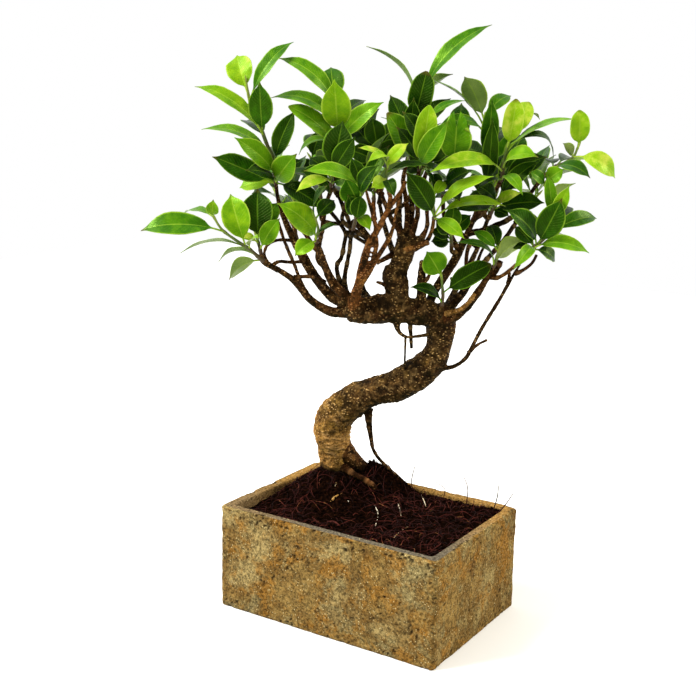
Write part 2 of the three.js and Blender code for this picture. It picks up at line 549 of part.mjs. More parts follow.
// Sections along a route, each with its place, direction and radius.
function sampleRoute(route, step, extraRadius = 0) {
  const curve = smooth(route);
  const count = Math.max(2, Math.round(curve.getLength() / step));
  const samples = [];
  for (let i = 0; i <= count; i += 1) {
    const share = i / count;
    const index = Math.min(share * (route.length - 1), route.length - 1.0001);
    const lower = Math.floor(index);
    const thickness = THREE.MathUtils.lerp(route[lower].thickness, route[lower + 1].thickness, index - lower);
    samples.push({
      at: curve.getPoint(share),
      along: curve.getTangent(share),
      radius: thickness / 2 + extraRadius,
    });
  }
  return samples;
}

// A tapering tube along samples. Its sides keep their place round it, and relief swells or sinks them.
function tube(samples, sides, relief = () => 0) {
  let across = new THREE.Vector3(0, 1, 0).cross(samples[0].along);
  if (across.lengthSq() < 0.01) across = new THREE.Vector3(1, 0, 0).cross(samples[0].along);
  const rings = samples.map(({ at, along, radius }, index) => {
    across.addScaledVector(along, -across.dot(along)).normalize();
    const other = along.clone().cross(across);
    return Array.from({ length: sides }, (_, side) => {
      const angle = (side / sides) * Math.PI * 2;
      const reach = radius * (1 + relief(angle, index / (samples.length - 1)));
      return at
        .clone()
        .addScaledVector(across, Math.cos(angle) * reach)
        .addScaledVector(other, Math.sin(angle) * reach);
    });
  });
  return ringsToSolid(rings, [samples[0].at, samples[samples.length - 1].at]);
}

// Shallow lobes and wrinkle rings of the old bark.
function barkRelief(angle, share) {
  return BARK_WAVES.reduce((sum, { height, lobes, turn }) => {
    return sum + height * Math.sin(lobes * angle + turn * share);
  }, 0);
}

// Everything in a list of solids as one body: loose scraps are dropped, sealed hollows are filled and
// the slivers that the joints leave are cleaned off.
function fuse(solids) {
  const joined = solids.reduce((all, next) => all.add(next)).asOriginal().simplify(SLIVER);
  return joined.decompose().reduce((best, body) => (body.volume() > best.volume() ? body : best));
}

function meshOf(solid, name, look) {
  const { vertProperties, triVerts } = solid.getMesh();
  const geometry = new THREE.BufferGeometry();
  geometry.setAttribute("position", new THREE.BufferAttribute(vertProperties, 3));
  geometry.setIndex(new THREE.BufferAttribute(triVerts, 1));
  geometry.computeVertexNormals();
  const mesh = new THREE.Mesh(geometry, new THREE.MeshStandardMaterial({ metalness: 0, ...LOOKS[look] }));
  mesh.name = name;
  return mesh;
}

// A level ring round a rectangle with round corners, as [x, y] points in order.
function rectangleRing(length, width, corner, cell) {
  const points = [];
  const reachX = length / 2 - corner;
  const reachY = width / 2 - corner;
  const corners = [[1, 1, 0], [-1, 1, 90], [-1, -1, 180], [1, -1, 270]];
  corners.forEach(([signX, signY, from], index) => {
    for (const turn of [0, 45, 90]) {
      const angle = THREE.MathUtils.degToRad(from + turn);
      points.push([signX * reachX + corner * Math.cos(angle), signY * reachY + corner * Math.sin(angle)]);
    }
    const run = index % 2 === 0 ? 2 * reachX : 2 * reachY;
    const cells = Math.round(run / cell);
    const [startX, startY] = points[points.length - 1];
    const [stepX, stepY] = [[-1, 0], [0, -1], [1, 0], [0, 1]][index];
    for (let i = 1; i < cells; i += 1) {
      points.push([startX + (stepX * run * i) / cells, startY + (stepY * run * i) / cells]);
    }
  });
  return points;
}

// The trough: split stone outside with a flat underside, and a worn rim.
function makePot() {
  const random = makeRandom(POT_SEED);
  const levels = [
    { z: 0, inset: POT_EDGE_WEAR, rough: 0.3 },
    { z: POT_EDGE_WEAR, inset: 0, rough: 0.6 },
    { z: POT_HEIGHT * 0.27, inset: 0, rough: 1 },
    { z: POT_HEIGHT * 0.52, inset: 0, rough: 1 },
    { z: POT_HEIGHT * 0.76, inset: 0, rough: 1 },
    { z: POT_HEIGHT - POT_EDGE_WEAR, inset: 0, rough: 0.5 },
    { z: POT_HEIGHT, inset: POT_EDGE_WEAR, rough: 0.3 },
    { z: POT_HEIGHT, inset: POT_WALL - RIM_BEVEL, rough: 0 },
    { z: POT_HEIGHT - RIM_BEVEL, inset: POT_WALL, rough: 0 },
    { z: POT_FLOOR, inset: POT_WALL, rough: 0 },
  ];
  const outline = rectangleRing(POT_LENGTH, POT_WIDTH, POT_CORNER, POT_CELL);
  const rings = levels.map(({ z, inset, rough }) => {
    const stretchX = (POT_LENGTH - 2 * inset) / POT_LENGTH;
    const stretchY = (POT_WIDTH - 2 * inset) / POT_WIDTH;
    return outline.map(([x, y]) => {
      const sink = rough * POT_ROUGHNESS * random();
      const away = new THREE.Vector3(x / POT_LENGTH, y / POT_WIDTH, 0);
      const side = Math.abs(away.x) > Math.abs(away.y);
      return new THREE.Vector3(
        x * stretchX - (side ? Math.sign(x) * sink : 0),
        y * stretchY - (side ? 0 : Math.sign(y) * sink),
        z,
      );
    });
  });
  return ringsToSolid(rings, [new THREE.Vector3(0, 0, 0), new THREE.Vector3(0, 0, POT_FLOOR)]);
}

// Height of the soil: heaped round the trunk's foot and lumpy all over.
const HEAPS = [
  { at: [-28, 112, 47], rise: 25, spread: 28 },
  { at: [6, 104, 47], rise: 20, spread: 17 },
  { at: [26, 98, 42], rise: 7, spread: 14 },
  { at: [-58, 105, 40], rise: 4, spread: 20 },
];

function soilHeight(x, y, lump) {
  const heaped = HEAPS.reduce((sum, { at, rise, spread }) => {
    const middle = place(at);
    const distance = Math.hypot(x - middle.x, y - middle.y);
    return sum + rise * Math.exp(-((distance / spread) ** 2));
  }, 0);
  const toWall = Math.min(POT_LENGTH / 2 - Math.abs(x), POT_WIDTH / 2 - Math.abs(y)) - POT_WALL;
  const slope = (2 * SOIL_RISE_RIGHT * x) / POT_LENGTH + (2 * SOIL_RISE_FAR * y) / POT_WIDTH;
  return SOIL_LEVEL + slope + heaped * Math.min(1, SOIL_HEAP_AT_WALL + toWall / SOIL_SLOPE) + lump;
}

function makeSoil(stemsGrown) {
  const random = makeRandom(SOIL_SEED);
  const length = POT_LENGTH - 2 * (POT_WALL + CLEARANCE);
  const width = POT_WIDTH - 2 * (POT_WALL + CLEARANCE);
  const columns = Math.round(length / SOIL_CELL);
  const rows = Math.round(width / SOIL_CELL);
  const points = [];
  const triangles = [];
  for (let row = 0; row <= rows; row += 1) {
    for (let column = 0; column <= columns; column += 1) {
      const x = (column / columns - 0.5) * length;
      const y = (row / rows - 0.5) * width;
      const lump = (random() - 0.5) * SOIL_LUMPS;
      const atCorner = [0, rows].includes(row) && [0, columns].includes(column);
      const pulledIn = 1 - (atCorner ? POT_CORNER / width : 0);
      points.push(new THREE.Vector3(x * pulledIn, y * pulledIn, soilHeight(x, y, lump)));
    }
  }
  const at = (row, column) => row * (columns + 1) + column;
  for (let row = 0; row < rows; row += 1) {
    for (let column = 0; column < columns; column += 1) {
      const near = [at(row, column), at(row, column + 1)];
      const far = [at(row + 1, column), at(row + 1, column + 1)];
      triangles.push(near[0], near[1], far[1], near[0], far[1], far[0]);
    }
  }
  const border = [];
  for (let column = 0; column < columns; column += 1) border.push(at(0, column));
  for (let row = 0; row < rows; row += 1) border.push(at(row, columns));
  for (let column = columns; column > 0; column -= 1) border.push(at(rows, column));
  for (let row = rows; row > 0; row -= 1) border.push(at(row, 0));
  const floor = POT_FLOOR + CLEARANCE;
  const firstLow = points.length;
  border.forEach((index) => points.push(points[index].clone().setZ(floor)));
  const middle = points.length;
  points.push(new THREE.Vector3(0, 0, floor));
  border.forEach((index, i) => {
    const next = (i + 1) % border.length;
    triangles.push(index, firstLow + i, firstLow + next, index, firstLow + next, border[next]);
    triangles.push(middle, firstLow + next, firstLow + i);
  });
  return fuse([solidFrom(points, triangles).subtract(stemsGrown)]);
}

function branchTube(route, extraRadius = 0) {
  const thickest = Math.max(...route.map(({ thickness }) => thickness));
  const { sides, step } = FINENESS.find(({ over }) => thickest > over);
  const relief = sides >= RELIEF_SIDES ? barkRelief : undefined;
  return tube(sampleRoute(route, step, extraRadius), sides, relief);
}

// A twig from a branch to the foot of a shoot, whose stem then follows on in the same direction.
function twigRoute(branch, share, foot, top) {
  const start = smooth(laid(WOOD[branch])).getPoint(share);
  const run = place(top).sub(place(foot)).normalize();
  const end = place(foot).addScaledVector(run, -CLEARANCE);
  const bend = end.clone().addScaledVector(run, -TWIG_BEND * end.distanceTo(start));
  return [start, bend, end].map((at, i) => ({ at, thickness: TWIG_THICKNESS[i] }));
}

// A shoot's stem, from its foot, or on from the end of the branch that it continues.
function stemRoute({ on, stem }) {
  const places = stem.map(place);
  if (on) {
    const curve = smooth(laid(WOOD[on]));
    const run = curve.getTangent(1);
    const end = curve.getPoint(1);
    places.unshift(
      end.clone().addScaledVector(run, STEM_GAP),
      end.clone().addScaledVector(run, STEM_START),
    );
  }
  return places.map((at, i) => ({
    at,
    thickness: THREE.MathUtils.lerp(...STEM_THICKNESS, i / (places.length - 1)),
  }));
}

// The blade's cross-section is a kite: two edges, the raised upper face and the underside's rib.
// The upper face is hollowed along the rib, so the blade folds a little.
function leafSolid(foot, leaf, { grow = 0, bladeOnly = false } = {}) {
  const { tip, width, facing, arch } = leaf;
  const chord = new THREE.Vector3().subVectors(tip, foot);
  const length = chord.length();
  const angle = THREE.MathUtils.degToRad(facing);
  const wanted = turned(0, -Math.sin(angle), Math.cos(angle));
  const forward = chord.clone().normalize();
  const normal = wanted.addScaledVector(forward, -wanted.dot(forward)).normalize();
  const across = forward.clone().cross(normal);
  const middle = foot.clone().lerp(tip, ARCH_PEAK).addScaledVector(normal, arch * length * 2);
  const curve = new THREE.QuadraticBezierCurve3(foot, middle, tip);
  const section = (share, halfWidth, thickness, fold) => {
    const at = curve.getPoint(share);
    const up = curve.getTangent(share).cross(across).negate().normalize();
    const lift = halfWidth * fold;
    return [
      at.clone().addScaledVector(across, halfWidth + grow).addScaledVector(up, lift),
      at.clone().addScaledVector(up, thickness / 2 + grow),
      at.clone().addScaledVector(across, -halfWidth - grow).addScaledVector(up, lift),
      at.clone().addScaledVector(up, -thickness / 2 - grow),
    ];
  };
  const rings = [
    section(0, PETIOLE_THICKNESS / 2, PETIOLE_THICKNESS, 0),
    section(PETIOLE_SHARE, PETIOLE_THICKNESS / 2, PETIOLE_THICKNESS, 0),
    ...BLADE_OUTLINE.map(([share, full]) =>
      section(
        PETIOLE_SHARE + (1 - PETIOLE_SHARE) * share,
        (full * width) / 2,
        BLADE_THICKNESS,
        BLADE_FOLD,
      ),
    ),
  ];
  return bladeOnly
    ? ringsToSolid(rings.slice(2), [curve.getPoint(PETIOLE_SHARE), tip])
    : ringsToSolid(rings, [foot, tip]);
}

// Ways to bend a leaf's tip clear of what is near it: [further back, higher], tried in this order.
const BENDS = [
  [0, 0], [-7, 0], [7, 0], [-14, 0], [14, 0], [0, -6],
  [0, 6], [-21, 0], [21, 0], [-12, -9], [12, 9], [-28, 4],
];

function boxesMeet(a, b) {
  return [0, 1, 2].every((i) => a.min[i] <= b.max[i] && b.min[i] <= a.max[i]);
}

function boxed(solid) {
  return { solid, box: solid.boundingBox() };
}

function clearOf(solid, others) {
  const box = solid.boundingBox();
  return others.every((other) => {
    if (!boxesMeet(box, other.box)) return true;
    return solid.intersect(other.solid).volume() < TOUCHING;
  });
}

// A shoot's green stem, closed by a bud.
function stemSolid(route) {
  const samples = sampleRoute(route, STEM_STEP);
  const end = samples[samples.length - 1];
  const budTip = end.at.clone().addScaledVector(end.along, BUD_LENGTH);
  samples.push({ at: budTip, along: end.along, radius: BUD_TIP_RADIUS });
  return tube(samples, STEM_SIDES);
}

// The place nearest to a point on a tube's centre line, which runs straight from ring to ring.
function nearestOn(samples, point) {
  const spans = samples.slice(1).map(({ at }, i) => new THREE.Line3(samples[i].at, at));
  const places = spans.map((span) => span.closestPointToPoint(point, true, new THREE.Vector3()));
  return places.reduce((best, next) => (next.distanceTo(point) < best.distanceTo(point) ? next : best));
}

// A shoot in one body: its stem and its leaves, each bent clear of the neighbours.
// A leaf that no bend clears is left out.
function makeShoot(stem, route, leaves, others) {
  const solids = [stem];
  const curve = smooth(route);
  const samples = sampleRoute(route, STEM_STEP);
  const blades = [];
  for (const leaf of leaves) {
    const foot = nearestOn(samples, curve.getPoint(leaf.share));
    const bend = BENDS.find(([back, higher]) => {
      const bent = { ...leaf, tip: leaf.tip.clone().add(turned(0, back, higher)) };
      const blade = leafSolid(foot, bent, { bladeOnly: true });
      return clearOf(leafSolid(foot, bent, { grow: CLEARANCE }), others) && clearOf(blade, blades);
    });
    if (!bend) continue;
    const bent = { ...leaf, tip: leaf.tip.clone().add(turned(0, ...bend)) };
    const blade = leafSolid(foot, bent, { bladeOnly: true });
    blades.push(boxed(blade));
    solids.push(leafSolid(foot, bent));
  }
  return fuse(solids);
}

function seenLeaf([share, across, height, depth, width, facing, arch = BLADE_ARCH]) {
  return { share, tip: place([across, height, depth]), width, facing, arch };
}

// Leaves of a far shoot: set round the stem by the golden angle, rising more towards its top.
function ruledLeaves(route, index) {
  const random = makeRandom(FAR_SEED + index);
  const curve = smooth(route);
  const firstHeading = random() * Math.PI * 2;
  return Array.from({ length: FAR_LEAVES }, (_, i) => {
    const share = THREE.MathUtils.lerp(...FAR_SHARE, i / (FAR_LEAVES - 1));
    const heading = firstHeading + i * GOLDEN_ANGLE;
    const degrees = THREE.MathUtils.lerp(...FAR_RISE, share) + FAR_RISE_SPREAD * (random() - 0.5);
    const rise = THREE.MathUtils.degToRad(degrees);
    const length = THREE.MathUtils.lerp(...FAR_LENGTH, random());
    const width = THREE.MathUtils.lerp(...FAR_WIDTH, random());
    const reach = turned(
      Math.cos(heading) * Math.cos(rise),
      Math.sin(heading) * Math.cos(rise),
      Math.sin(rise),
    ).multiplyScalar(length);
    const tip = curve.getPoint(share).add(reach);
    const facing = FAR_FACING_SPREAD * (random() - 0.5) - FAR_FACING_AWAY * Math.sin(heading);
    return { share, tip, width, facing, arch: BLADE_ARCH };
  });
}

const shootPlans = [
  ...Object.entries(SHOOTS).map(([name, shoot]) => ({
    name: "shoot_" + name,
    from: shoot.from,
    stem: shoot.stem,
    route: stemRoute(shoot),
    leaves: shoot.leaves.map(seenLeaf),
  })),
  ...FAR_SHOOTS.map(([name, branch, share, foot, top], index) => {
    const stem = [foot, top];
    const route = stemRoute({ stem });
    return { name: "shoot_" + name, from: [branch, share], stem, route, leaves: ruledLeaves(route, index) };
  }),
];

const twigs = shootPlans
  .filter(({ from }) => from)
  .map(({ from: [branch, share], stem }) => twigRoute(branch, share, stem[0], stem[1]));
const branches = Object.values(WOOD).map(laid);
const wood = fuse([...branches, ...twigs].map((route) => branchTube(route)));
const rooted = ["trunk", "aerial_root", "flare", "surface_root"];
const rootedGrown = fuse(rooted.map((name) => branchTube(laid(WOOD[name]), ROOT_CLEARANCE)));

const bonsai = new THREE.Group();
bonsai.add(meshOf(makePot(), "pot", "stone"));
bonsai.add(meshOf(makeSoil(rootedGrown), "soil", "soil"));
bonsai.add(meshOf(wood, "wood", "bark"));

const stems = shootPlans.map(({ route }) => boxed(stemSolid(route)));
const standing = [boxed(wood)];
shootPlans.forEach(({ name, route, leaves }, index) => {
  const toCome = stems.slice(index + 1);
  const shoot = makeShoot(stems[index].solid, route, leaves, [...standing, ...toCome]);
  standing.push(boxed(shoot));
  bonsai.add(meshOf(shoot, name, "leaf"));
});

export default bonsai;
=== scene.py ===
"""A small Chinese banyan (Ficus microcarpa) trained as a bonsai, in a rough stone trough.

Everything is in the row's frame: the origin is the middle of the trough's underside, +X runs along its long
side and +Z is up. Sizes in this script are millimetres, and meshes are written in metres.
"""

import math
import random

import bmesh
import bpy
import numpy as np
from mathutils import Matrix, Vector, kdtree, noise


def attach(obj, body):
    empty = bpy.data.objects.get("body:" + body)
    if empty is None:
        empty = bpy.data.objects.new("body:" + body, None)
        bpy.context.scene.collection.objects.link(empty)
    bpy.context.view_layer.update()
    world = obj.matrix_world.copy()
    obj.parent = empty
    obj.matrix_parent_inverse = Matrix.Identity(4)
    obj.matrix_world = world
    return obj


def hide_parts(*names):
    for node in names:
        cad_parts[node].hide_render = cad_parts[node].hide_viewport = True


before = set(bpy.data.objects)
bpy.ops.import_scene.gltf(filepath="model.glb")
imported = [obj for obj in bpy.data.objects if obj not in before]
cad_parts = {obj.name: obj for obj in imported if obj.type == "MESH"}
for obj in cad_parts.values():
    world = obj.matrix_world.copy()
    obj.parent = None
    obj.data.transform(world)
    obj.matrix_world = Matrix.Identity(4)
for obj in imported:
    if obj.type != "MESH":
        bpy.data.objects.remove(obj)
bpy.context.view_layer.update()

MM = 0.001

# Trough. Turns are in degrees. Its walls wave a little, are chipped at their edges and have pits.
POT_LENGTH = 200
POT_WIDTH = 140
POT_HEIGHT = 86
POT_WALL = 9.5
POT_FLOOR = 12
POT_CORNER = 4
POT_EDGE_WEAR = 1.6
QUARTER_TURN = [0, 22.5, 45, 67.5, 90]
WEAR_TURN = [0, 30, 60, 90]
RIM_BEVEL = 1
RIM_ROWS = 6
INSIDE_ROWS = [83, 81, 79, 77, 74, 70]
ROUGH_INSIDE = 10
STONE_CELL = 1.4
PIT_SPACING = 4.6
PIT_REACH = 0.3
PIT_DEPTH = 1.1
CHIP_DEPTH = 3.2
CHIP_REACH = 4
WALL_SET_BACK = 0.55
BROAD_WAVE = 0.75
SMALL_WAVE = 0.42
PROUDEST_STONE = 0.3
CALM_EDGE = 0.35
CALM_REACH = 7
RIM_DENT = 0.25
RIM_GRAIN = 0.12

# Soil. It lies higher towards the right and the far side, and is heaped round the trunk's foot.
SOIL_LEVEL = 80.5
SOIL_RISE_RIGHT = 1.5
SOIL_RISE_FAR = 2.5
SOIL_SLOPE = 16
SOIL_HEAP_AT_WALL = 0.35
SOIL_CELL = 1.0
CLOD_HEIGHT = 1.3
SOIL_GRAIN_HEIGHT = 0.9
CLEARANCE = 0.3
FIRST_DEPTH = -90
DEPTH_STEP = 0.5
DEPTH_STEPS = 400
HEAPS = [
    {"at": [-28, 112, 47], "rise": 25, "spread": 28},
    {"at": [6, 104, 47], "rise": 20, "spread": 17},
    {"at": [26, 98, 42], "rise": 7, "spread": 14},
    {"at": [-58, 105, 40], "rise": 4, "spread": 20},
]

# Crumbs and coir fibres. They keep off the walls, and fibres are fewer near the trunk.
CRUMBS = 1900
CRUMB_SEED = 5
CRUMB_MARGIN = 2
CRUMB_RADIUS = [0.7, 1.8]
CRUMB_STRETCH = [0.7, 1.3]
CRUMB_KNOBS = [0.75, 1.2]
FIBRES = 950
FIBRE_SEED = 9
FIBRE_MARGIN = 3
FIBRE_LIMIT = 0.8
FIBRE_LENGTH = [6, 24]
FIBRE_TURN = 0.5
FIBRE_KINK = 0.4
FIBRE_ARCH = 4
FIBRE_POINTS = 5
FIBRE_THICKNESS = [0.25, 0.6]
FIBRE_STEP = 2.2
FIBRE_SIDES = 4
FIBRE_TONES = [0.05, 0.1, 0.15, 0.2, 0.25, 0.3, 0.34, 0.38, 0.42, 0.5, 0.58]
BARE_SOIL = 60
SHORTEST_FIBRE = 3
SHORTEST_SPAN = 0.3

# The tree is turned in its trough. All its places below are given as they look from the front of the
# tree, on the upright plane through the trough's middle: [across, height, depth behind that plane].
# The eye stands EYE from the trough's origin, so a place further back is spread out from the eye's axis.
TREE_TURN = math.radians(32.26)
EYE = np.array([-21.0, -916.0, 431.0])
TURN = np.array(Matrix.Rotation(TREE_TURN, 3, "Z"))

# Camera: where it looks from, its tilt, and its focal length as a share of the picture's width
CAMERA_AT = (471.11, -785.79, 430.61)
CAMERA_AZIMUTH = math.radians(32.26)
CAMERA_ELEVATION = math.radians(13.08)
CAMERA_ROLL = math.radians(1.35)
FOCAL_SHARE = 1.7145
SENSOR = 36

# Studio: light powers in watts, places and sizes in metres
FLOOR_REACH = 1.6
FLOOR_COLOUR = (0.7275, 0.73875, 0.75)
LIT_PLACE = (0, 0, 0.2)
KEY_LIGHT = {"at": (-1.5, -1.5, 2.2), "power": 170, "size": 1.1, "colour": (1.0, 0.97, 0.92)}
BACK_LIGHT = {"at": (1.6, 1.0, 1.5), "power": 60, "size": 0.9, "colour": (1.0, 0.9, 0.7)}

# Curves: how far apart two places are that give a direction, and the steps that measure a length
NUDGE = 1e-4
LENGTH_STEPS = 60

# Leaves. A petiole is a leaf's stalk, and its share is that of the whole leaf's length.
PETIOLE_THICKNESS = 1.4
PETIOLE_SHARE = 0.16
BLADE_ARCH = 0.13
ARCH_PEAK = 0.45
BLADE_HALF_THICKNESS = 0.22
MIDRIB_RISE = 0.5
MIDRIB_GROOVE = 0.3
BLADE_OPENS = 0.1
CURL_START = 0.7
# Tones of the leaves in the shade, dark as painted shade, and of the far shoots' leaves, kept darker partly
# as painted shade
PAINTED_SHADE_TONES = [0.0, 0.04, 0.08, 0.12, 0.2]
FAR_TONES = [0.05, 0.1, 0.15, 0.25, 0.35, 0.5]
DRYNESS = [0.0, 0.0, 0.5, 0.9]
TIP_MATCH = 0.15

# How blades differ. Each range runs from the least to the most.
FOLD = [0.08, 0.28]
WAVE_HEIGHT = [0.02, 0.09]
WAVES_ALONG = [1.6, 2.8]
TIP_CURL = [0, 0.05]

# Stems. A bud's shape is given as shares of its length, each with its radius there.
STEM_THICKNESS = [3.2, 1.6]
STEM_STEP = 1.6
STEM_SIDES = 8
STEM_GAP = 0.5
STEM_START = 3
STEM_OVERLAP = 1.2
SCAR_RISE = 0.35
SCAR_REACH = 0.03
BUD_LENGTH = 5
BUD_SHAPE = [[0.15, 0.95], [0.5, 0.75], [0.8, 0.4], [1.0, 0.08]]
GOLDEN_ANGLE = math.radians(137.5)
TWIG_THICKNESS = [3.8, 3.4, 3.2]
TWIG_BEND = 0.35

# Leaves of the far shoots. Each range runs from the least to the most.
FAR_LEAVES = 6
FAR_SHARE = [0.1, 0.95]
FAR_LENGTH = [38, 52]
FAR_WIDTH = [16, 22]
FAR_RISE = [8, 58]
FAR_RISE_SPREAD = 14
FAR_FACING_SPREAD = 25
FAR_FACING_AWAY = 30
FAR_SEED = 100

# Thick wood. Wrinkles run round it, and lenticels are the pale dots of its bark.
TRUNK_STEP = 2.0
TRUNK_SIDES = 24
BARK_VOXEL = 0.85
BARK_SINK = 0.25
WRINKLE_SPACING = 3.4
WRINKLE_LENGTH = 14
WRINKLE_HEIGHT = 0.8
WRINKLE_WARP = 2.6
GRAIN_HEIGHT = 0.55
LENTICEL_SPACING = 3.3
LENTICEL_REACH = 0.3
LENTICEL_HEIGHT = 0.4
FULL_RELIEF_RADIUS = 9
# How far above the soil the bark is darkened
SOIL_DARK_REACH = 8
WRINKLE_SHARPNESS = 3.6
WRINKLE_PALENESS = 0.85
LENTICEL_PALENESS = 0.8
PALEST = 0.9
# How near black the painted shade in the bark's hollows may be
DARKEST_HOLLOW_SHADE = 0.9

# Thin wood, with knots along it and a swollen foot
BRANCH_STEP = 1.5
BRANCH_SIDES = 10
KNOT_SPACING = 9
KNOT_REACH = 1.1
KNOT_RISE = 0.16
FOOT_SWELL = 0.3
FOOT_REACH = 3
GRAIN_SHARE = 0.2
KNOT_PALENESS = 0.2
LIGHT_DRIFT = 0.07

# Ways to bend a leaf's tip clear of what is near it: [further back, higher]
BENDS = [
    [0, 0], [-7, 0], [7, 0], [-14, 0], [14, 0], [0, -6],
    [0, 6], [-21, 0], [21, 0], [-12, -9], [12, 9], [-28, 4],
]

# Half the blade's width along it, as shares of its length and of half its full width
OUTLINE_SHARES = [0, 0.05, 0.12, 0.24, 0.38, 0.52, 0.66, 0.78, 0.86, 0.92, 0.96, 1]
OUTLINES = {
    "drawn_out": [0.05, 0.2, 0.44, 0.75, 0.94, 1, 0.93, 0.7, 0.43, 0.18, 0.09, 0.03],
    "blunt": [0.05, 0.22, 0.48, 0.8, 0.97, 1, 0.97, 0.88, 0.72, 0.5, 0.32, 0.1],
    "notched": [0.05, 0.2, 0.42, 0.7, 0.88, 1, 1, 0.96, 0.92, 0.84, 0.72, 0.5],
}
NOTCH = 0.6
NOTCH_START = 0.7

# Where a leaf's rings lie along its blade and its stalk, and where its columns lie to the blade's side
BLADE_STATIONS = [0, 0.025, 0.06, 0.12, 0.19, 0.28, 0.38, 0.48, 0.58, 0.68, 0.77, 0.85, 0.91, 0.95, 0.98, 1]
PETIOLE_STATIONS = [0, 0.05, 0.1, 0.14]
BEFORE_BLADE = -0.1
COLUMNS = [1, 0.95, 0.7, 0.4, 0.06, -0.06, -0.4, -0.7, -0.95]

